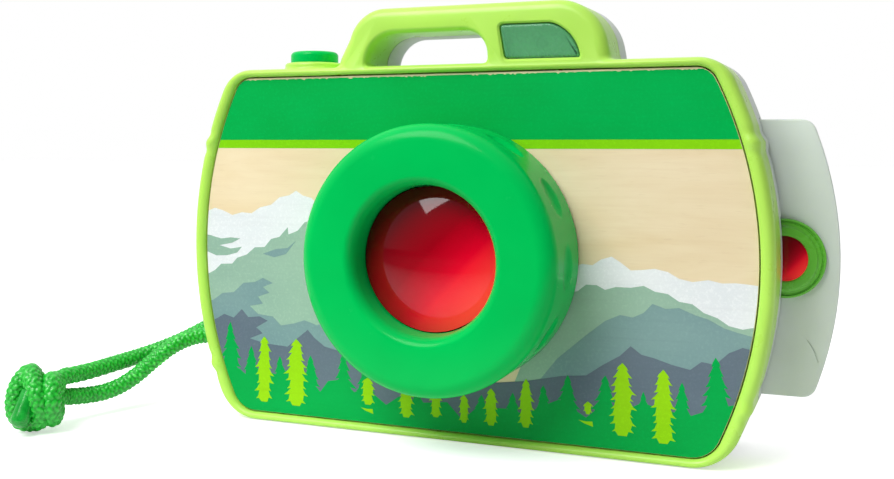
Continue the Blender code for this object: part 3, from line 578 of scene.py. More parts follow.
def steel_finish(name, colour, roughness):
    """Plated steel with fine brushed streaks."""
    n = Nodes(name)
    streaks = n.noise(1.0, 4.0, 0.6, n.stretched((900.0, 900.0, 40.0)))
    base = n.mix(n.spread(streaks, 0.0, 1.0), tuple(value * 0.8 for value in colour), colour)
    n.colour(base)
    n.gloss(streaks, roughness - 0.06, roughness + 0.1)
    n.bump(streaks, 0.08, 0.00005)
    n.put(Metallic=1.0)
    return n.material


def birch(name):
    """Pale birch plywood under a thin clear coat: long faint grain, broad soft figure and fine pores."""
    n = Nodes(name)
    figure = n.noise(1.0, 3.0, 0.55, n.stretched((18.0, 60.0, 70.0)), 1.2)
    grain = n.noise(1.0, 5.0, 0.6, n.stretched((40.0, 300.0, 900.0)), 0.4)
    base = n.mix(n.spread(figure, 0.0, 1.0, 0.3, 0.7), (0.90, 0.77, 0.53), (0.82, 0.66, 0.41))
    base = n.mix(n.spread(grain, 0.0, 0.22, 0.45, 0.7), base, (0.74, 0.57, 0.34))
    pores = n.noise(1.0, 2.0, 0.5, n.stretched((260.0, 900.0, 2600.0)))
    base = n.mix(n.spread(pores, 0.0, 0.14, 0.62, 0.75), base, (0.58, 0.41, 0.23))
    n.colour(base)
    n.gloss(grain, 0.34, 0.46)
    n.bump(grain, 0.08, 0.00006)
    n.put(Specular_IOR_Level=0.25)
    return n.material


def ink(name, colour, other):
    """Printed ink on the wood: a fine speckle, a slow drift of tone and the grain showing through."""
    n = Nodes(name)
    drift = n.noise(1.0, 2.0, 0.5, n.stretched((30.0, 30.0, 45.0)))
    base = n.mix(n.spread(drift, 0.0, 1.0), colour, other)
    speckle = n.noise(1500.0, 2.0, 0.7)
    pale = tuple(min(1.0, value * 1.12) for value in colour)
    base = n.mix(n.spread(speckle, 0.0, 0.5, 0.5, 0.75), base, pale)
    grain = n.noise(1.0, 5.0, 0.6, n.stretched((40.0, 300.0, 900.0)), 0.4)
    base = n.mix(n.spread(grain, 0.0, 0.16, 0.5, 0.7), base, tuple(value * 0.7 for value in colour))
    n.colour(base)
    n.gloss(grain, 0.33, 0.44)
    n.bump(grain, 0.06, 0.00006)
    n.put(Specular_IOR_Level=0.08)
    return n.material


# ---------------------------------------------------------------- camera and light


CAMERA_TURN = 22.0


def make_camera():
    lens = bpy.data.cameras.new("camera")
    lens.lens = 42.96
    lens.sensor_width = 36.0
    lens.shift_y = -0.109
    lens.clip_start = 0.01
    camera = bpy.data.objects.new("camera", lens)
    camera.location = (0.0962, -0.2563, 0.0734)
    camera.rotation_euler = (math.radians(90), 0, math.radians(CAMERA_TURN))
    bpy.context.scene.collection.objects.link(camera)
    bpy.context.scene.camera = camera


def lamp(name, place, target, size, power, turn=0.0):
    light = bpy.data.lights.new(name, "AREA")
    light.shape = "RECTANGLE"
    light.size, light.size_y = size
    light.energy = power
    result = bpy.data.objects.new(name, light)
    result.location = place
    aim = (Vector(target) - Vector(place)).to_track_quat("-Z", "Y") @ Quaternion((0, 0, 1), turn)
    result.rotation_euler = aim.to_euler()
    bpy.context.scene.collection.objects.link(result)


def make_studio():
    """A white tent, brightest up and to the left, one key light, and a floor that stays white."""
    world = bpy.data.worlds.new("studio")
    world.use_nodes = True
    nodes, links = world.node_tree.nodes, world.node_tree.links
    direction = nodes.new("ShaderNodeTexCoord").outputs["Generated"]
    toward = nodes.new("ShaderNodeVectorMath")
    toward.operation = "DOT_PRODUCT"
    toward.inputs[1].default_value = (-0.48, 0.52, 0.70)
    links.new(direction, toward.inputs[0])
    level = nodes.new("ShaderNodeMapRange")
    level.inputs["From Min"].default_value = -0.32
    level.inputs["From Max"].default_value = 0.95
    level.inputs["To Min"].default_value = 0.06
    level.inputs["To Max"].default_value = 1.0
    links.new(toward.outputs["Value"], level.inputs["Value"])
    backdrop = nodes.new("ShaderNodeMix")
    backdrop.inputs[3].default_value = 1.0
    links.new(nodes.new("ShaderNodeLightPath").outputs["Is Camera Ray"], backdrop.inputs[0])
    links.new(level.outputs["Result"], backdrop.inputs[2])
    links.new(backdrop.outputs[0], nodes["Background"].inputs["Strength"])
    nodes["Background"].inputs["Color"].default_value = (1, 1, 1, 1)
    bpy.context.scene.world = world
    bpy.context.scene.view_settings.view_transform = "Standard"
    centre = Vector((0.0, 0.0, 0.05))
    across, high = math.radians(25), math.radians(46)
    level_way = Vector((-math.sin(across), -math.cos(across), 0)) * math.cos(high)
    key_way = level_way + Vector((0, 0, math.sin(high)))
    lamp("key", centre + key_way * 0.60, centre, (0.36, 0.36), 3.5, math.radians(45))

    floor_mesh = bpy.data.meshes.new("floor")
    edge = 3.0
    corners = [(-edge, -edge, 0), (edge, -edge, 0), (edge, edge, 0), (-edge, edge, 0)]
    floor_mesh.from_pydata(corners, [], [(0, 1, 2, 3)])
    n = Nodes("floor")
    depth = n.add("ShaderNodeSeparateXYZ")
    n.link(n.place, depth.inputs[0])
    fade = n.spread(depth.outputs["Y"], 0.10, 1.0, -0.21, -0.085)
    n.colour(n.mix(fade, (0.0, 0.0, 0.0), (0.90, 0.90, 0.90)))
    seen = n.add("ShaderNodeLightPath").outputs["Is Camera Ray"]
    glow = n.mix(seen, (0.05, 0.05, 0.05), (0.5, 0.5, 0.5))
    n.link(n.mix(fade, (0.0, 0.0, 0.0), glow), n.shader.inputs["Emission Color"])
    n.put(Roughness=0.6, Emission_Strength=1.0, Specular_IOR_Level=0.1)
    floor_mesh.materials.append(n.material)
    floor = bpy.data.objects.new("floor", floor_mesh)
    bpy.context.scene.collection.objects.link(floor)


# ---------------------------------------------------------------- wrist cord

CORD_Y = 6.5
CORD_Z = 20.5
CORD_SPREAD = 3.6
CORD_START_X = -68.9
KNOT_CENTRE = Vector((-101.8, -43.3, 8.4))

# The route of each strand in metres, from the wall to the knot.
CORD_ROUTES = {
    "cord_back": [
        (-0.0689, 0.0065, 0.0241), (-0.0711, 0.0065, 0.0241), (-0.0725, 0.0062, 0.0241),
        (-0.0770, 0.0062, 0.0233), (-0.0816, 0.0056, 0.0214), (-0.0862, 0.0034, 0.0186),
        (-0.0908, -0.0008, 0.0159), (-0.0946, -0.0066, 0.0140), (-0.0974, -0.0126, 0.0129),
        (-0.0994, -0.0192, 0.0122), (-0.1006, -0.0264, 0.0118), (-0.1009, -0.0336, 0.0120),
    ],
    "cord_front": [
        (-0.0689, 0.0065, 0.0169), (-0.0711, 0.0065, 0.0169), (-0.0725, 0.0052, 0.0170),
        (-0.0764, 0.0028, 0.0178), (-0.0802, -0.0008, 0.0186), (-0.0839, -0.0044, 0.0180),
        (-0.0871, -0.0086, 0.0160), (-0.0906, -0.0124, 0.0124), (-0.0931, -0.0160, 0.0092),
        (-0.0953, -0.0200, 0.0070), (-0.0974, -0.0244, 0.0060), (-0.0994, -0.0290, 0.0060),
        (-0.1007, -0.0338, 0.0066),
    ],
}


def smooth_route(points, spacing):
    """Points at an even spacing along a smooth curve through the given ones, as an array."""
    points = np.array(points, float)
    padded = np.vstack([2 * points[0] - points[1], points, 2 * points[-1] - points[-2]])
    fine = []
    for a, b, c, d in zip(padded, padded[1:], padded[2:], padded[3:]):
        square, cube = 2 * a - 5 * b + 4 * c - d, 3 * b - a - 3 * c + d
        for t in np.linspace(0, 1, 24, endpoint=False):
            fine.append(0.5 * (2 * b + (c - a) * t + square * t**2 + cube * t**3))
    fine = np.array(fine + [points[-1]])
    along = np.concatenate([[0], np.cumsum(np.linalg.norm(np.diff(fine, axis=0), axis=1))])
    at = np.linspace(0, along[-1], max(3, round(along[-1] / spacing) + 1))
    return np.stack([np.interp(at, along, fine[:, k]) for k in range(3)], axis=1)


def braid(name, route, material, radius=2.3, around=56, spacing=0.24):
    """A braided cord along a route in millimetres: eight strands each way, over one and under one."""
    line = smooth_route(route, spacing)
    count = len(line)
    along = np.concatenate([[0], np.cumsum(np.linalg.norm(np.diff(line, axis=0), axis=1))])
    tangent = np.gradient(line, axis=0)
    tangent /= np.linalg.norm(tangent, axis=1)[:, None]
    side = np.zeros((count, 3))
    side[0] = np.cross(tangent[0], (0.0, 0.3, 1.0))
    for i in range(1, count):
        side[i] = side[i - 1] - tangent[i] * (side[i - 1] @ tangent[i])
    side /= np.linalg.norm(side, axis=1)[:, None]
    for i in range(1, count):
        flat = side[i - 1] - tangent[i] * (side[i - 1] @ tangent[i])
        side[i] = flat / np.linalg.norm(flat)
    up = np.cross(tangent, side)

    strands = 8
    turn = 2 * math.pi / 20.0
    sway, thick, half_width = 0.26, 0.52, 0.78
    mean = radius - sway - thick
    angle = np.linspace(0, 2 * math.pi, around, endpoint=False)[None, :]
    s = along[:, None]
    lift = sway * np.cos(strands * turn * s)
    lean = math.cos(math.atan(turn * radius))
    reach = []
    for way in (1, -1):
        phase = (angle - way * turn * s) * strands / (2 * math.pi)
        across = (phase - np.round(phase)) * 2 * math.pi / strands * radius * lean
        bulge = thick * np.sqrt(np.clip(1 - (across / half_width) ** 2, 0.0, 1.0))
        reach.append(mean + way * lift + bulge)
    r = np.maximum(reach[0], reach[1])
    ends = np.minimum(along, along[-1] - along)[:, None]
    r = r * np.sqrt(np.clip(ends / 0.8 + 0.45, 0.0, 1.0))
    points = (
        line[:, None, :]
        + r[:, :, None] * np.cos(angle)[:, :, None] * side[:, None, :]
        + r[:, :, None] * np.sin(angle)[:, :, None] * up[:, None, :]
    )
    return skin(name, points, material, 60), line


def make_cords():
    n = Nodes("braided_cord")
    fibre = n.noise(2200.0, 2.0, 0.6)
    base = n.mix(n.spread(n.noise(300.0, 3.0), 0.0, 1.0), (0.0, 0.42, 0.02), (0.01, 0.54, 0.03))
    # Painted shade: the hollows between the strands are darkened.
    base = n.mix(n.edges(0.42, 0.51), (0.0, 0.13, 0.005), base)
    # Painted highlight: the crowns of the strands are lightened.
    base = n.mix(n.edges(0.53, 0.60), base, (0.10, 0.80, 0.10))
    n.colour(base)
    n.gloss(fibre, 0.28, 0.42)
    n.bump(fibre, 0.15, 0.0001)
    n.put(Specular_IOR_Level=0.6)
    cord_material = n.material

    on_the_cord = make_knot(cord_material)
    for name, route in CORD_ROUTES.items():
        route_mm = [tuple(value / MM for value in point) for point in route]
        piece, line = braid(f"{name}_braid", route_mm, cord_material)
        show(piece, "camera_body", name, slot="braided_cord")
    turn = arc(-67.4, CORD_Z, CORD_SPREAD, -90, 90, 14)
    route = [(-68.0, CORD_Y, CORD_Z - CORD_SPREAD)] + [(x, CORD_Y, z) for x, z in turn]
    route += [(-68.0, CORD_Y, CORD_Z + CORD_SPREAD)]
    piece, _ = braid("cord_turn_braid", route, cord_material, around=40, spacing=0.3)
    show(piece, "camera_body", "cord_turn", slot="braided_cord")


def make_knot(cord_material):
    """Both strands drawn into one knot: a collar, a loop over the top and a melted end in front.

    The places are (right, near, up) from the knot's centre, as the camera looks at it.
    """
    look = math.radians(CAMERA_TURN)
    right = Vector((math.cos(look), math.sin(look), 0))
    near = Vector((right.y, -right.x, 0))

    def placed(points):
        return [tuple(KNOT_CENTRE + right * a + near * b + Vector((0, 0, c))) for a, b, c in points]

    winding = [
        (3.4, -3.4, 0.4), (3.0, -2.0, 3.4), (3.4, 1.0, 4.3), (4.2, 3.2, 2.4), (4.6, 4.0, -0.6),
        (4.1, 3.0, -3.6), (3.6, 0.2, -4.9), (3.0, -2.8, -3.2), (0.6, -4.0, 0.6), (-1.8, -2.8, 3.9),
        (-2.6, -0.4, 6.2), (-4.5, 1.2, 3.9), (-5.4, 1.9, 0.4), (-5.2, 2.2, -3.0), (-3.6, 2.0, -5.4),
        (-0.6, 1.6, -5.8), (1.4, 3.2, -4.6), (1.8, 4.6, -1.6), (0.9, 4.6, 2.0), (-0.8, 2.8, 5.0),
        (-2.2, 0.0, 6.3), (-2.8, -2.8, 3.6), (-3.0, -4.0, -0.6), (-1.0, -3.0, -4.0),
    ]
    knot, _ = braid("cord_knot_braid", placed(winding), cord_material, radius=2.5)
    show(knot, "camera_body", "cord_knot", slot="braided_cord")
    core_profile = [(4.0 * math.sin(a), -5.0 * math.cos(a)) for a in np.linspace(0, math.pi, 13)]
    core_profile[0], core_profile[-1] = (0, -5.0), (0, 5.0)
    core = turned("cord_knot_core", core_profile, 32, cord_material, KNOT_CENTRE, True, sharp=60)
    show(core, "camera_body", slot="braided_cord")
    tails = []
    for name, route in CORD_ROUTES.items():
        end = Vector(route[-1]) / MM
        before = Vector(route[-2]) / MM
        way = (end - before).normalized()
        inside = placed([(1.5, -1.0, 1.8 if name == "cord_back" else -1.2)])[0]
        points = [tuple(end - way * 0.9), tuple(end + way * 2.2), inside]
        tail, _ = braid(f"{name}_tail", points, cord_material)
        show(tail, "camera_body", slot="braided_cord")
        tails.append(tail)

    n = Nodes("melted_cord")
    melt = n.noise(500.0, 3.0)
    n.colour(n.mix(n.spread(melt, 0, 1), (0.0, 0.26, 0.02), (0.01, 0.42, 0.04)))
    n.gloss(melt, 0.16, 0.32)
    n.bump(melt, 0.4, 0.0002)
    radius = 2.3
    profile = [(0, 0.0)]
    for a in np.linspace(0.2, 1.5, 9):
        profile.append((radius * math.sin(a), radius * 0.7 * (1 - math.cos(a))))
    profile += [(radius, 2.6), (radius - 0.1, 9.0), (0, 9.0)]
    stub = turned("cord_end_melted", profile, 40, n.material, sharp=60)
    inward = (near * -0.40 + right * 0.2 + Vector((0, 0, 0.88))).normalized()
    turn = inward.to_track_quat("Y", "Z").to_matrix().to_4x4()
    turn.translation = Vector(placed([(-2.6, 7.4, -5.7)])[0]) * MM
    stub.data.transform(turn)
    show(stub, "camera_body", slot="braided_cord")
    return [knot, core, stub] + tails


# ---------------------------------------------------------------- shells


def add_ridges(shell):
    """Raises the two bands that cross each side wall and the bead."""
    mesh = shell.data
    count = len(mesh.vertices)
    points, normals = np.zeros(count * 3), np.zeros(count * 3)
    mesh.vertices.foreach_get("co", points)
    mesh.vertices.foreach_get("normal", normals)
    points, normals = points.reshape(-1, 3) / MM, normals.reshape(-1, 3)
    lift = np.zeros(count)
    # Each band is a ridge with a groove above and below it: (height, distance from the middle, width).
    waves = ((0.45, 0.0, 1.1), (-0.2, 2.4, 0.9), (-0.2, -2.4, 0.9))
    for place in RIDGE_PLACES:
        for height, offset, width in waves:
            lift += height * np.exp(-(((points[:, 2] - place - offset) / width) ** 2))
    outward = normals[:, 0] * np.sign(points[:, 0])
    lift *= np.clip((np.abs(points[:, 0]) - 0.8 * HALF_WIDTH) / 4, 0, 1)
    lift *= np.clip(1 + 1.6 * outward, 0, 1) * np.clip(2.2 * (1 - normals[:, 1]), 0, 1)
    normals[:, 1] *= points[:, 1] < FRONT + 2.3
    normals /= np.maximum(np.linalg.norm(normals, axis=1), 1e-6)[:, None]
    mesh.vertices.foreach_set("co", ((points + normals * lift[:, None]) * MM).ravel())
    mesh.update()


def handle_solid(name, face, direction, seam):
    """One half of the handle, rounded over at its outer face and running to the seam."""
    foot = HEIGHT - 1.4
    depth = 2.6
    full = handle_outline(foot)
    base = handle_outline(foot - depth)
    opening_rounding = 1.2
    outside, inside = grown(base, -depth), grown(base, -opening_rounding)
    # The opening's edge is rounded less than the outside, and its feet stay down inside the bead.
    low = []
    for (x, z), far, near in zip(base, outside, inside):
        on_opening = OPENING_LEFT - 0.01 < x < OPENING_RIGHT + 0.01 and z < OPENING_TOP + 0.1
        at_foot = z < foot
        low.append((near[0] if on_opening else far[0], near[1] if on_opening and not at_foot else far[1]))
    pieces = [max(1, round(math.dist(a, b) / 0.8)) for a, b in zip(full, full[1:] + full[:1])]
    rings = [(between(low, full, s), face + direction * depth * (1 - c)) for s, c in quarter(7)]
    start = face + direction * depth
    layers = max(2, round(abs(seam - start) / 0.8))
    rings += [(full, start + (seam - start) * (i + 1) / layers) for i in range(layers)]
    return loft(name, [(split(outline, pieces), along) for outline, along in rings])


def split(outline, pieces):
    """The outline with each of its edges cut into so many pieces."""
    result = []
    for start, end, count in zip(outline, outline[1:] + outline[:1], pieces):
        for i in range(count):
            result += between([start], [end], i / count)
    return result


def nearest_on(outline, target):
    """For each point of the outline, the nearest place on the target outline."""
    points = np.array(target + target[:1])
    start, way = points[:-1], np.diff(points, axis=0)
    result = []
    for point in np.array(outline):
        share = np.clip(((point - start) * way).sum(1) / (way * way).sum(1), 0, 1)
        near = start + way * share[:, None]
        best = np.linalg.norm(near - point, axis=1).argmin()
        result.append((float(near[best, 0]), float(near[best, 1])))
    return result


def rise(profile, centre):
    """An upright turned tool at a place in XY."""
    return turned("upright_tool", profile, 96, None, (centre[0], centre[1], 0), True)


def bore(x, z, radius, near, far, steps=40):
    """A round tool along Y."""
    profile = [(0, near), (radius, near), (radius, far), (0, far)]
    return turned("bore_tool", profile, steps, None, (x, 0, z))


def make_front_shell(lime):
    outer = resampled(body_outline(), 0.7)
    recess = nearest_on(outer, panel_outline(-GAP))
    bead_outside, bead_inside = 2.2, 1.3
    bead = quarter(7)
    rings = [(between(outer, recess, 0.5 * (1 - c)), FRONT + bead_outside * (1 - s)) for s, c in bead]
    rings += [(between(outer, recess, 0.5 + 0.5 * s), FRONT + bead_inside * (1 - c)) for s, c in bead[1:]]
    wall_start = FRONT + bead_outside
    layers = 13
    side = [(outer, SEAM_FRONT + (wall_start - SEAM_FRONT) * i / layers) for i in range(layers)]
    shell = loft("front_case", side + rings + [(recess, DECK_FRONT)], lime, sharp=38)
    add_ridges(shell)
    soft_join(shell, handle_solid("handle_front", HANDLE_FRONT, 1, SEAM_FRONT), 2.4, SEAM_FRONT)
    low = HEIGHT - 1.5
    profile = [(0, low), (PEDESTAL_RADIUS, low)]
    profile += [(PEDESTAL_RADIUS, low + 0.5 * i) for i in range(1, 6)]
    soft = 0.8
    profile += [(PEDESTAL_RADIUS - soft * (1 - c), PEDESTAL_TOP - soft * (1 - s)) for s, c in quarter(6)]
    profile += [(4.0, PEDESTAL_TOP), (0, PEDESTAL_TOP)]
    soft_join(shell, rise(profile, BUTTON_PLACE), 0.9, SEAM_FRONT, 8)

    inner = resampled(body_outline(WALL), 1.5)
    hollow = grown(handle_outline(HOLLOW_FOOT), -HANDLE_WALL)
    radius = BUTTON_RADIUS + GAP
    well = [(0, HOLLOW_FOOT), (radius, HOLLOW_FOOT), (radius, PEDESTAL_TOP - 0.3)]
    well += [(radius + 0.5, 99.0), (0, 99.0)]
    flare, hole = grown(flash_outline(), GAP + 0.7), grown(flash_outline(), GAP)
    window_hole = [(flare, HANDLE_FRONT - 0.3), (hole, HANDLE_FRONT + 0.4), (hole, HANDLE_FRONT + 6)]
    cut(
        shell,
        prism("front_cavity", inner, DECK_BACK, SEAM_FRONT + 3.0),
        prism("front_handle_cavity", hollow, HANDLE_FRONT + HANDLE_WALL, SEAM_FRONT + 3.0),
        bore(0, AXIS_Z, NECK_HOLE, FRONT - 3, DECK_BACK + 3, 96),
        rise(well, BUTTON_PLACE),
        loft("flash_hole", window_hole),
    )
    return shell


def make_rear_shell(white):
    outer = resampled(body_outline(), 0.7)
    rounding = 4.0
    layers = 12
    side_end = REAR - rounding
    rings = [(outer, SEAM_REAR + (side_end - SEAM_REAR) * i / layers) for i in range(layers)]
    inner_edge = nearest_on(outer, body_outline(2.8))
    rings += [(between(outer, inner_edge, 1 - c), side_end + rounding * s) for s, c in quarter(8)]
    shell = loft("rear_case", rings, white, sharp=38)
    add_ridges(shell)
    soft_join(shell, handle_solid("handle_rear", HANDLE_REAR, -1, SEAM_REAR), 2.4, SEAM_REAR)
    inner = resampled(body_outline(WALL), 1.5)
    hollow = grown(handle_outline(HOLLOW_FOOT), -HANDLE_WALL)
    cut(
        shell,
        prism("rear_cavity", inner, SEAM_REAR - 3.0, REAR - WALL),
        prism("rear_handle_cavity", hollow, SEAM_REAR - 3.0, HANDLE_REAR - HANDLE_WALL),
    )
    posts = [bore(x, z, 3.5, 2.0, REAR - WALL + 0.5) for x, z in SCREW_PLACES]
    posts.append(bore(CORD_START_X + 0.9, CORD_Z, 2.6, 9.3, REAR - WALL + 0.5))
    combine(shell, posts, "UNION")
    tools = []
    for x, z in SCREW_PLACES:
        profile = [(0, 0.0), (1.6, 0.0), (1.6, 4.0), (2.9, 4.0), (2.9, REAR - 0.4), (3.5, REAR + 0.2)]
        profile += [(3.5, REAR + 3), (0, REAR + 3)]
        tools.append(turned("screw_bore", profile, 48, None, (x, 0, z)))
    grille_x, grille_z = -22.0, 19.5
    for x, z in [(grille_x, grille_z)] + arc(grille_x, grille_z, 5.0, 0, 300, 5):
        profile = [(0, 10.0), (1.1, 10.0), (1.1, REAR - 0.35), (1.5, REAR + 0.05)]
        profile += [(1.5, REAR + 3), (0, REAR + 3)]
        tools.append(turned("grille_hole", profile, 32, None, (x, 0, z)))
    tools.append(bore(0, AXIS_Z, 12.3, 8.0, REAR + 3, 96))
    door = grown(rectangle(DOOR_X, DOOR_Z), GAP)
    tools.append(prism("door_hole", door, 10.0, REAR + 3))
    tools.append(rise([(0, 80.0), (8.1, 80.0), (8.1, 99.0), (0, 99.0)], BUTTON_PLACE))
    wall = (60.0, 82.0)
    tools.append(block("slide_slot", wall, (SLIDE_FRONT - 0.4, SLIDE_BACK + 0.4), (13.3, 79.2)))
    notch = (AXIS_Z - BEZEL_RADIUS - 0.4, AXIS_Z + BEZEL_RADIUS + 0.4)
    tools.append(block("bezel_notch", wall, (3.3, SLIDE_FRONT + 0.5), notch))
    reach, radius, middle_y = 3.35, 3.25, CORD_Y - 0.55
    mouth = arc(middle_y, CORD_Z - reach, radius, 180, 360, 16)
    mouth += arc(middle_y, CORD_Z + reach, radius, 0, 180, 16)
    flare = grown(mouth, 0.7)
    rings = [(flare, -80.0), (flare, -72.6), (mouth, -71.2), (mouth, -66.0)]
    tools.append(loft("cord_mouth", rings, None, "X"))
    tools.append(bore(CORD_START_X + 0.9, CORD_Z, 1.5, 9.0, 11.6))
    cut(shell, *tools)
    return shell


# ---------------------------------------------------------------- printed front


def make_panel(wood):
    edge = resampled(panel_outline(), 1.0)
    panel = loft("panel_board", rounded_rim(edge, 0.12, 4, PANEL_FRONT) + [(edge, PANEL_BACK)], wood)
    return cut(panel, bore(0, AXIS_Z, NECK_HOLE, -20, 0, 96))


def fir(rng, x, low, high, half_width, tiers, column=False):
    """A fir's outline, a column or a cone, with a ragged row of bough tips down either side."""
    sides = []
    step = (high - low) / (tiers + 0.4)
    for side in (-1, 1):
        points = []
        for tier in range(tiers):
            share = (tier + 1) / tiers
            wide = min(1.0, 0.35 + 1.3 * share) * (1 - 0.12 * share) if column else share**0.85
            wide *= half_width * rng.uniform(0.8, 1.12)
            tip = high - step * (tier + rng.uniform(0.9, 1.12))
            points.append((x + side * wide * 0.72, tip + step * 0.42))
            points.append((x + side * wide, tip))
            points.append((x + side * wide * rng.uniform(0.5, 0.7), tip + step * 0.12))
        sides.append(points)
    left, right = sides
    foot = 0.3 * half_width
    return anticlockwise([(x, high)] + right + [(x + foot, low), (x - foot, low)] + left[::-1])


def printed(name, outlines, level, material):
    """One colour of the print, as a thin film on the panel's face."""
    film = 0.03
    front = PANEL_FRONT - film * level
    pieces = []
    for number, outline in enumerate(outlines):
        pieces.append(prism(f"{name}_{number}", anticlockwise(outline), front, PANEL_FRONT + 0.3))
    piece = pieces[0]
    piece.name = name
    piece.data.materials.append(material)
    if len(pieces) > 1:
        combine(piece, pieces[1:], "UNION")
    trim = prism("print_trim", resampled(panel_outline(0.12), 1.0), PANEL_FRONT - 1, PANEL_FRONT + 0.2)
    combine(piece, [trim], "INTERSECT")
    cut(piece, bore(0, AXIS_Z, NECK_HOLE + 0.4, -20, 0, 96))
    return show(piece, "camera_body", slot="printed_plywood")


def raised(points):
    """Points given from the panel's lower edge, moved to their height over the ground."""
    return [(x, z + PRINT_FOOT) for x, z in points]


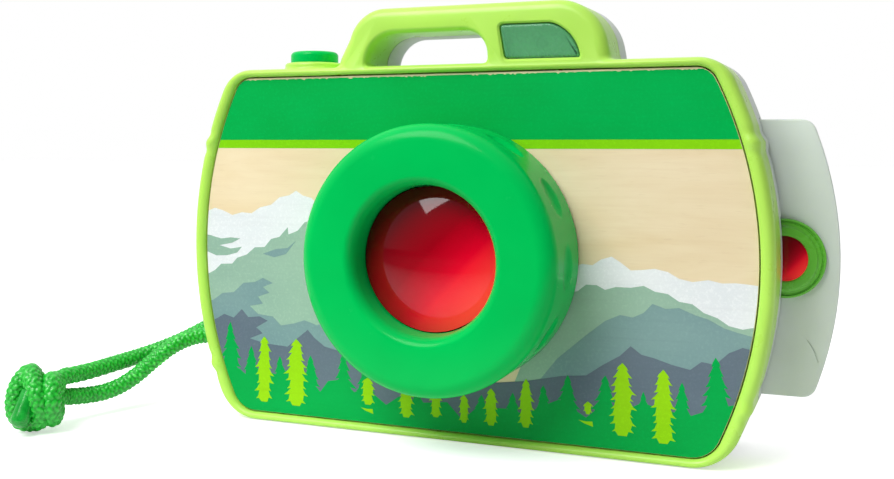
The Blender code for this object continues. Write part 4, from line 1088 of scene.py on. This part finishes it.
def make_print():
    rng = random.Random(7)
    snow = ink("ink_snow", tone(240, 242, 243), tone(226, 231, 234))
    meadow = ink("ink_meadow", tone(160, 192, 170), tone(143, 178, 160))
    slate = ink("ink_slate", tone(133, 164, 162), tone(116, 149, 151))
    dusk = ink("ink_dusk", tone(108, 122, 134), tone(94, 110, 124))
    band = ink("ink_band", tone(0, 180, 84), tone(2, 168, 72))
    stripe = ink("ink_stripe", tone(140, 218, 20), tone(128, 208, 18))
    lime = ink("ink_lime", tone(158, 220, 20), tone(146, 212, 16))
    forest = ink("ink_forest", tone(0, 172, 78), tone(0, 162, 70))

    left_snow = [
        (-76, 30), (-76, 51), (-72, 52.4), (-69.5, 53.4), (-67, 52.8), (-64, 51.6), (-61, 52.4),
        (-58, 52.2), (-55.5, 53.8), (-52, 54.6), (-49.5, 56.6), (-46.5, 57.2), (-44.5, 58.4),
        (-42.5, 57.2), (-40, 56.6), (-36, 53), (-30, 50), (-24, 44), (-18, 30),
    ]
    right_snow = [
        (18, 25), (24, 37), (29, 41.5), (32, 42.6), (34.5, 42.4), (36.5, 43.8), (39, 44.6), (41, 43.4),
        (43.5, 41.6), (46, 41.8), (49, 42.2), (52, 41.6), (54.5, 40.2), (57.5, 39.6), (61, 40.2),
        (64, 39.6), (67, 39.8), (70, 39.6), (76, 39), (76, 25),
    ]
    printed("print_snow", [raised(left_snow), raised(right_snow)], 1, snow)

    fingers = [
        (-76, 46.4), (-71, 46), (-67.5, 45.2), (-64.5, 45.6), (-61.5, 45.4), (-64, 44.2), (-68, 43.4),
        (-64.5, 42.6), (-61, 43.2), (-62.5, 41.6), (-65.5, 40.8), (-69, 40.6), (-72, 41.6), (-76, 41),
    ]
    left_hill = [
        (-76, 35), (-72, 35.4), (-69.5, 36.6), (-67.5, 38.4), (-64, 38.6), (-62.5, 40.2),
        (-59.5, 41.2), (-57, 43.2), (-54, 43.4), (-52, 45.6), (-49.5, 46.2), (-47, 48.8),
        (-46.8, 46.9), (-44, 48), (-42, 50.2), (-39, 51.2), (-34, 49), (-26, 40), (-16, 22), (-10, 5),
        (-76, 5),
    ]
    right_hill = [
        (12, 5), (22, 30), (28, 35.4), (31, 36.2), (33, 37.8), (35.5, 37.8), (37.5, 36.8), (40, 37.6),
        (43.5, 37.6), (46.5, 38.2), (49, 37), (52, 36.6), (54.5, 35), (57.5, 34.6), (60, 32.8),
        (63, 31.8), (65.5, 30.2), (68.5, 29.6), (71, 30.2), (76, 29.4), (76, 5),
    ]
    printed("print_meadow", [raised(fingers), raised(left_hill), raised(right_hill)], 2, meadow)

    streak = [(-54.5, 41.6), (-50.5, 43), (-47, 43.4), (-44.5, 45.4), (-47.5, 41.8), (-51, 40.8)]
    left_shade = [
        (-76, 27.5), (-70, 28.6), (-67, 30.6), (-63.5, 31), (-60.5, 33.6), (-57, 34), (-54.5, 35.2),
        (-51.5, 34), (-54.5, 32.8), (-52.5, 31.4), (-56, 30.2), (-54.5, 28.4), (-58.5, 27.6),
        (-56, 25.6), (-51.5, 25.2), (-49, 23), (-45, 23.8), (-42, 24.8), (-38.5, 23.8), (-34, 24.6),
        (-28, 20), (-14, 5), (-76, 5),
    ]
    right_shade = [
        (14, 5), (26, 20), (33, 26), (37.5, 29.6), (41, 31.2), (44, 30.8), (46.5, 32), (48.5, 34.2),
        (51.5, 33.2), (54.5, 33.6), (58, 32.2), (61, 31.4), (64.5, 29.6), (67.5, 28.8), (76, 27),
        (76, 5),
    ]
    printed("print_slate", [raised(streak), raised(left_shade), raised(right_shade)], 3, slate)

    left_dusk = [
        (-76, 21), (-69, 23.6), (-66.5, 25), (-63.5, 24.2), (-61, 26.6), (-59, 24.6), (-55.5, 25),
        (-53, 24), (-56.5, 22), (-54.5, 20.6), (-58.5, 19), (-54, 18), (-47, 17.6), (-44, 20),
        (-41, 22.4), (-39, 20.4), (-36, 18.4), (-32, 17.6), (-28, 14.8), (-20, 13.4), (-8, 12.6),
        (6, 12.4), (18, 14), (27, 16), (33, 16.6), (37, 19.4), (41, 21.8), (43.5, 24.2), (46, 22.4),
        (49, 21.8), (53, 20.6), (57, 19.8), (59.5, 21.8), (62.5, 21.4), (65.5, 24.2), (68.5, 25.6),
        (76, 24),
    ]
    printed("print_dusk", [raised(left_dusk + [(76, 3), (-76, 3)])], 4, dusk)

    bank = [
        (-76, -4), (-76, 16), (-70, 14.4), (-66, 12), (-61.5, 10.6), (-59.8, 9.4), (-57, 11.4),
        (-50, 10), (-46, 12), (-41, 10.8), (-37.5, 6.4), (-35, 9.6), (-31, 10.4), (-27.5, 7.4),
        (-24, 8.8), (-18.5, 5), (-15, 7.4), (-9, 6.4), (-2, 7.2), (2, 3.2), (6, 6.8), (13, 7),
        (18, 6.2), (23, 8.8), (26.5, 10.4), (33, 6.8), (36.5, 9.8), (42, 9.2), (46, 11.4), (53, 10),
        (56.5, 9.2), (60, 10.6), (66, 12.6), (76, 14),
    ]
    cones = [
        (-64.5, 5, 23, 5.6, 7), (-58, 5, 17, 3.6, 5), (-49.3, 5, 15, 3.2, 4), (-40.2, 5, 15.8, 3.8, 5),
        (-30.6, 5, 17, 4.4, 5), (-24.5, 5, 13.4, 3.6, 4), (-10, 2, 9.6, 3.4, 4), (7, 2, 9.8, 3.2, 4),
        (15, 2, 11, 3.0, 4), (22.6, 3, 13.4, 3.4, 5), (28.6, 4, 16.4, 4.6, 6), (37.6, 4, 17, 4.8, 6),
        (46.4, 4, 14, 3.2, 5), (55.2, 4, 16.8, 3.6, 6), (62.6, 4, 23, 6.0, 8), (68.5, 5, 17, 3.4, 5),
    ]
    outlines = [bank + [(76, -4)]] + [fir(rng, *cone) for cone in cones]
    printed("print_forest", [raised(outline) for outline in outlines], 5, forest)

    columns = [
        (-54, 2.6, 19.8, 3.0, 8), (-44.4, 2.4, 19.8, 3.6, 9), (41.6, 3.4, 20.2, 3.4, 9),
        (51, 2.6, 19.4, 3.1, 9), (-23.6, 4.6, 11.5, 2.4, 4), (-13, 2.4, 10.4, 2.4, 5),
        (-5, 3.2, 10.6, 1.9, 4), (2.5, 2.6, 9.4, 1.7, 4), (9.5, 2.6, 11.6, 2.2, 5),
        (18.3, 3, 14.6, 2.2, 6), (33.4, 7.6, 10.6, 1.4, 2),
    ]
    bright = [fir(rng, *column, True) for column in columns]
    tuft = [(-1.8, 0.9), (-0.4, 0.2), (1.7, -0.4), (1.5, 0.8), (0, 0.7)]
    for x, z in ((-23.8, 2.8), (33.0, 5.2)):
        bright.append([(x + a, z + b) for a, b in tuft])
    printed("print_lime_firs", [raised(outline) for outline in bright], 6, lime)

    half = PANEL_HALF_WIDTH + 2
    stripe_low, band_low = 71.8, 74.0
    strip = [(-half, stripe_low), (half, stripe_low), (half, band_low + 0.3), (-half, band_low + 0.3)]
    printed("print_stripe", [strip], 1, stripe)
    top = [(half, band_low)]
    for i in range(260):
        x = 66 - 132 * i / 259
        chipped = rng.random() < 0.16
        chip = rng.uniform(0.1, 0.35) if chipped else rng.uniform(0, 0.05)
        top.append((x, PANEL_HIGH - 0.42 - chip))
    printed("print_band", [[(-half, band_low)] + top + [(-half, 80.0)]], 2, band)


# ---------------------------------------------------------------- lens


def curve_corner(start, end, bulge, steps):
    """Points of a quarter ellipse between two (radius, along) places. bulge says which comes first."""
    result = []
    for s, c in quarter(steps):
        shares = (1 - c, s) if bulge == "radius" else (s, 1 - c)
        result.append(tuple(a + (b - a) * share for a, b, share in zip(start, end, shares)))
    return result


def make_lens(green):
    front = RING_FRONT
    side = [(RING_RADIUS, RING_BACK - 0.7 * i) for i in range(1, 25)]
    profile = [(RING_RADIUS - 0.3, RING_BACK)] + [point for point in side if point[1] > front + 4.2]
    profile += curve_corner((RING_RADIUS, front + 4.0), (RING_RADIUS - 4.0, front), "radius", 12)
    profile += [(24.6, front)]
    profile += curve_corner((19.7, front), (17.4, front + 3.4), "along", 14)
    profile += [(NECK_BORE, front + 5.4), (NECK_BORE, NECK_BACK), (19.4, NECK_BACK), (19.4, front + 6.0)]
    profile += [(21.0, front + 3.2), (RING_RADIUS - 3.2, front + 3.2), (RING_RADIUS - 2.4, RING_BACK)]

    def dimple(angle, radius, along):
        if radius < RING_RADIUS - 0.4:
            return radius
        away = (math.degrees(angle) + 2 + 15) % 30 - 15
        across = math.radians(away) * RING_RADIUS / 4.9
        deep = (along + 23.4) / 3.0
        inside = 1 - across**2 - deep**2
        return radius - 0.95 * math.sqrt(max(0.0, inside)) if inside > 0 else radius

    ring = turned("lens_ring_moulded", profile, 360, green, LENS_CENTRE, shape=dimple, sharp=50)
    show(ring, "lens_dial", "lens_ring", slot="green_plastic")

    thickness = 1.2
    low, high = limits("lens_dome")
    rim = high[1] - thickness
    rise_height, radius = rim - low[1], high[0]
    sphere = (radius**2 + rise_height**2) / (2 * rise_height)
    outside = []
    for i in range(25):
        r = radius * i / 24
        outside.append((r, rim - rise_height + sphere - math.sqrt(sphere**2 - r**2)))
    profile = outside + [(r, along + thickness) for r, along in reversed(outside)]
    red = painted_light_lens_plastic("red_lens", LENS_CENTRE, radius)
    dome = turned("lens_dome_moulded", profile, 128, red, LENS_CENTRE, sharp=50)
    show(dome, "camera_body", "lens_dome", slot="red_lens")


# ---------------------------------------------------------------- filter slide


def make_slide(white, green):
    rings = rounded_rim(slide_outline(), 0.4, 3, SLIDE_FRONT)
    back = [(edge, SLIDE_FRONT + SLIDE_BACK - along) for edge, along in rings[::-1]]
    plate = loft("slide_plate", rings + back, white)
    line = arc(71.2, 19.6, 12.2, 12, 38, 14)
    groove = line + arc(71.2, 19.6, 12.5, 38, 12, 14)
    cut(
        plate,
        bore(WINDOW_X, AXIS_Z, 5.6, 0, 20, 96),
        prism("thumb_groove", groove, SLIDE_FRONT - 1, SLIDE_FRONT + 0.4),
    )
    show(plate, "filter", "filter_slide", slot="white_plastic")

    front, rear, outer = BEZEL_FRONT, BEZEL_BACK, BEZEL_RADIUS
    profile = [(7.3, rear), (outer, rear), (outer, front + 1.0)]
    profile += curve_corner((outer, front + 0.95), (outer - 0.35, front + 0.6), "radius", 4)
    profile += [(outer - 0.5, front + 0.6), (outer - 0.62, front + 0.95)]
    profile += [(outer - 0.9, front + 0.95), (outer - 1.02, front + 0.6)]
    profile += curve_corner((outer - 1.5, front + 0.6), (outer - 1.9, front + 0.15), "along", 3)
    profile += curve_corner((outer - 1.95, front + 0.12), (outer - 2.15, front), "radius", 3)
    profile += [(5.9, front)] + curve_corner((5.8, front), (5.3, front + 0.5), "along", 5)
    profile += [(5.3, front + 0.7), (7.3, front + 0.7)]
    bezel = turned("slide_bezel_moulded", profile, 128, green, WINDOW_CENTRE, sharp=40)
    show(bezel, "filter", "slide_bezel", slot="green_plastic")
    low, high = limits("slide_window")
    profile = [(0, low[1]), (3.0, low[1] + 0.02), (5.0, low[1] + 0.1), (7.0, low[1] + 0.12)]
    profile += [(7.0, high[1]), (0, high[1])]
    red = painted_light_lens_plastic("red_window", WINDOW_CENTRE, 6.0)
    window = turned("slide_window_moulded", profile, 96, red, WINDOW_CENTRE, sharp=40)
    show(window, "filter", "slide_window", slot="red_lens")


# ---------------------------------------------------------------- flash and shutter


def facet_sheet(name, centre, near, far, material):
    """A sheet whose near face is a field of small diamond-shaped pyramids."""
    half_width, half_height, relief, count = 1.1, 1.36, 1.1, 8
    data = bmesh.new()

    def place(u, v, y):
        return (centre[0] + (u + v) * half_width, y, centre[1] + (u - v) * half_height)

    span = range(-count, count + 1)
    grid = {(u, v): data.verts.new(place(u, v, near + relief)) for u in span for v in span}
    for u in span[:-1]:
        for v in span[:-1]:
            top = data.verts.new(place(u + 0.5, v + 0.5, near))
            ring = [grid[u, v], grid[u + 1, v], grid[u + 1, v + 1], grid[u, v + 1]]
            for first, second in zip(ring, ring[1:] + ring[:1]):
                data.faces.new((first, second, top))
    edge = [(u, -count) for u in span] + [(count, v) for v in span[1:]]
    edge += [(u, count) for u in span[-2::-1]] + [(-count, v) for v in span[-2:0:-1]]
    back = {corner: data.verts.new(place(*corner, far)) for corner in edge}
    for first, second in zip(edge, edge[1:] + edge[:1]):
        data.faces.new((grid[first], grid[second], back[second], back[first]))
    data.faces.new([back[corner] for corner in edge])
    return to_object(name, data, material, 5)


def make_flash(tint, silver):
    outline = flash_outline()
    behind = HANDLE_FRONT + HANDLE_WALL
    rings = rounded_rim(outline, 0.6, 5, HANDLE_FRONT + 0.2)
    flange = grown(outline, 1.0)
    rings += [(outline, behind + GAP), (flange, behind + GAP), (flange, behind + 1.4)]
    window = loft("flash_window_moulded", rings, tint, sharp=40)
    show(window, "camera_body", "flash_window", slot="green_lens")

    front = behind + 1.4 + GAP
    facets = facet_sheet("flash_facets", (21.6, 97.6), front + 0.9, front + 3.4, silver)
    combine(facets, [prism("facet_trim", grown(outline, 0.6), front, front + 3.2)], "INTERSECT", sharp=5)
    led_x, led_z = 20.6, 97.6
    cut(facets, bore(led_x, led_z, 1.7, -20, 20))
    facets.data.set_sharp_from_angle(angle=math.radians(5))
    show(facets, "camera_body", "flash_reflector", slot="silvered_plastic")


def make_button(green):
    top, radius = BUTTON_TOP, BUTTON_RADIUS
    cap_low = 93.0
    stem = 1.7
    profile = [(0, BUTTON_LOW), (stem, BUTTON_LOW), (stem, cap_low), (radius, cap_low)]
    profile += [(radius, top - 1.3)]
    profile += curve_corner((radius, top - 1.2), (radius - 1.2, top - 0.05), "radius", 8)
    for inward, dip in ((2.0, 0.12), (3.2, 0.22), (4.6, 0.28), (radius, 0.3)):
        profile.append((radius - inward, top - dip))
    button = turned("shutter_cap", profile, 128, green, (BUTTON_X, BUTTON_Y, 0), True, sharp=40)
    show(button, "shutter", "shutter_button", slot="green_plastic")


def make_spring(steel):
    """The button's return spring: a fixed coil from its foot on the case up to the button."""
    low, high = limits("shutter_spring")
    wire, turns, steps, sides = 0.35, 3.5, 112, 12
    radius = 0.5 * (high[0] - low[0]) - wire
    foot, top = low[2] + wire, high[2] - wire
    rings = []
    for i in range(steps + 1):
        turn = 2 * math.pi * turns * i / steps
        ring = []
        for k in range(sides):
            angle = 2 * math.pi * k / sides
            reach = radius + wire * math.cos(angle)
            height = foot + (top - foot) * i / steps + wire * math.sin(angle)
            ring.append((BUTTON_X + reach * math.cos(turn), BUTTON_Y + reach * math.sin(turn), height))
        rings.append(ring)
    spring = skin("return_spring", rings, steel)
    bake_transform(spring)
    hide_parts("shutter_spring")


# ---------------------------------------------------------------- back


def make_back(white, green, clear, steel_screw):
    face = REAR + GAP
    flange = 14.6
    bore_radius = 9.6
    profile = [(bore_radius, face - 3.2), (12.0, face - 3.2), (12.0, face), (flange, face)]
    profile += [(flange, face + 0.8)]
    profile += curve_corner((flange, face + 0.8), (flange - 1.0, face + 1.8), "radius", 6)
    profile += [(bore_radius + 1.6, face + 1.8)]
    profile += curve_corner((bore_radius + 1.0, face + 1.8), (bore_radius, face + 0.7), "along", 6)
    ring = turned("eyepiece_moulded", profile, 144, green, LENS_CENTRE, sharp=40)
    show(ring, "camera_body", "eyepiece_ring", slot="green_plastic")
    (_, near, _), (_, far, _) = limits("eyepiece_lens")
    radius = bore_radius - GAP
    profile = [(0, near), (radius, near), (radius, far - 0.25), (radius - 0.3, far - 0.1), (0, far)]
    lens = turned("eyepiece_lens_moulded", profile, 96, clear, LENS_CENTRE, sharp=40)
    show(lens, "camera_body", "eyepiece_lens", slot="clear_lens")

    inside = REAR - WALL
    outline = rounded(rectangle(DOOR_X, DOOR_Z), 0.5)
    rings = rounded_rim(outline, 0.45, 4, REAR, -1)
    door = loft("door_moulded", [(outline, inside + GAP)] + rings[::-1], white)
    tabs = []
    for x in (DOOR_X[0] + 5.0, DOOR_X[1] - 5.0):
        tabs.append(block("door_root", (x - 2.5, x + 2.5), (inside - 1.0, inside + 1.0), (16.8, 20.2)))
        tabs.append(block("door_tab", (x - 2.5, x + 2.5), (inside - 1.6, inside - GAP), (13.2, 20.2)))
    screw_x, screw_z = DOOR_SCREW
    tabs.append(bore(screw_x, screw_z, 4.2, inside - 1.3, inside + 1.0))
    combine(door, tabs, "UNION")
    grooves = []
    for i in range(7):
        z = 24.0 + 2.2 * i
        depth = (REAR - 0.45, REAR + 1)
        grooves.append(block("grip_groove", (-55.2, -41.2), depth, (z - 0.55, z + 0.55)))
    recess = [(0, inside), (2.8, inside), (2.8, REAR - 0.4), (3.3, REAR + 0.1)]
    recess += [(3.3, REAR + 2), (0, REAR + 2)]
    grooves.append(turned("door_recess", recess, 48, None, (screw_x, 0, screw_z)))
    grooves.append(bore(screw_x, screw_z, 1.5, 0, 20))
    cut(door, *grooves)
    show(door, "door", "battery_door", slot="white_plastic")
    make_screw_heads(steel_screw)


def make_screw_heads(steel_screw):
    """Cross-recessed screws for the shells and the door, in place of the plain ones."""
    screws = []
    for number, place in enumerate(SCREW_PLACES, 1):
        screws.append((f"shell_screw_{number}", place, "camera_body", 4.3, 2.5, 1.15, -6.8))
    screws.append(("door_screw", DOOR_SCREW, "door", REAR - WALL + GAP, 2.4, 1.2, 5.0))
    for node, (x, z), body, under, head, shank, tip in screws:
        profile = [(0, tip), (shank * 0.7, tip + 0.9), (shank, tip + 1.4), (shank, under), (head, under)]
        profile += [(head, under + 0.9)]
        profile += curve_corner((head, under + 0.9), (head * 0.4, under + 1.6), "radius", 6)
        profile += [(0, under + 1.62)]
        screw = turned(f"{node}_turned", profile, 40, steel_screw, (x, 0, z), sharp=40)
        depth = (under + 0.75, under + 3)
        for wide, tall in ((1.5, 0.32), (0.32, 1.5)):
            cut(screw, block("cross", (x - wide, x + wide), depth, (z - tall, z + tall)))
        show(screw, body, node, slot="zinc_steel")


# ---------------------------------------------------------------- pieces kept from the frame


def dress(material, *names):
    """A better material for CAD nodes whose shape is right as it is."""
    for name in names:
        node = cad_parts[name]
        if node.data.materials:
            node.material_slots[0].material = material
        else:
            node.data.materials.append(material)


def dress_inner_pieces(white, clear):
    dark = plastic("dark_plastic", (0.02, 0.02, 0.022), 0.45)
    steel = steel_finish("zinc_steel", (0.62, 0.62, 0.63), 0.3)
    dress(dark, "click_wheel", "tact_switch", "sound_chip")
    dress(dark, "lens_barrel", "viewing_tube")
    dress(white, "slide_guide_upper", "slide_guide_lower", "battery_tray")
    dress(clear, "flash_led")
    dress(steel, "barrel_screw_left", "barrel_screw_right", "board_screw_1", "board_screw_2", "button_clip")
    dress(steel, "battery_contact_1", "battery_contact_2", "battery_spring_1", "battery_spring_2")
    dress(steel, "strap_pin", "speaker")
    n = Nodes("battery_jacket")
    split_xyz = n.add("ShaderNodeSeparateXYZ")
    n.link(n.place, split_xyz.inputs[0])
    top = n.spread(split_xyz.outputs["Z"], 0.0, 1.0, 0.0525, 0.0527)
    body = n.mix(n.spread(n.noise(80.0), 0, 1), (0.02, 0.02, 0.025), (0.03, 0.03, 0.035))
    n.colour(n.mix(top, body, (0.55, 0.27, 0.1)))
    n.gloss(n.noise(300.0), 0.25, 0.4)
    n.put(Metallic=0.6)
    dress(n.material, "battery_1", "battery_2")
    board = plastic("circuit_board", (0.01, 0.2, 0.06), 0.3)
    dress(board, "circuit_board", "switch_board")
    wire = plastic("wire_jacket", (0.5, 0.02, 0.02), 0.4)
    dress(wire, "battery_lead", "flash_lead", "speaker_lead", "switch_lead")
    return steel


def main():
    make_camera()
    make_cords()
    make_studio()
    lime = plastic("lime_plastic", tone(190, 242, 98), 0.3, glow=0.12, sheen=0.38)
    white = plastic("white_plastic", tone(222, 232, 224), 0.34, glow=0.12, sheen=0.25)
    green = plastic("green_plastic", tone(0, 196, 88), 0.2, glow=0.0, wear=0.1, sheen=0.10)
    tint = clear_plastic("green_lens", (0.17, 0.58, 0.27), 0.06, cloud=0.5)
    clear = clear_plastic("clear_lens", (0.93, 0.97, 0.96), 0.02)
    silver = plastic("silvered_plastic", tone(178, 228, 186), 0.14, sheen=1.0)
    wood = birch("printed_plywood")
    show(make_front_shell(lime), "camera_body", "front_shell", slot="lime_plastic")
    show(make_rear_shell(white), "camera_body", "rear_shell", slot="white_plastic")
    show(make_panel(wood), "camera_body", "front_panel", slot="printed_plywood")
    make_print()
    make_lens(green)
    # Painted reflection: the bezel is the green plastic made paler and yellower for the lime case it
    # reflects.
    bezel_green_painted_reflection = plastic("bezel_green_painted_reflection", tone(108, 198, 64), 0.24, glow=0.06, sheen=0.4)
    make_slide(white, bezel_green_painted_reflection)
    make_flash(tint, silver)
    make_button(green)
    steel = dress_inner_pieces(white, clear)
    make_spring(steel)
    make_back(white, green, clear, steel)


main()
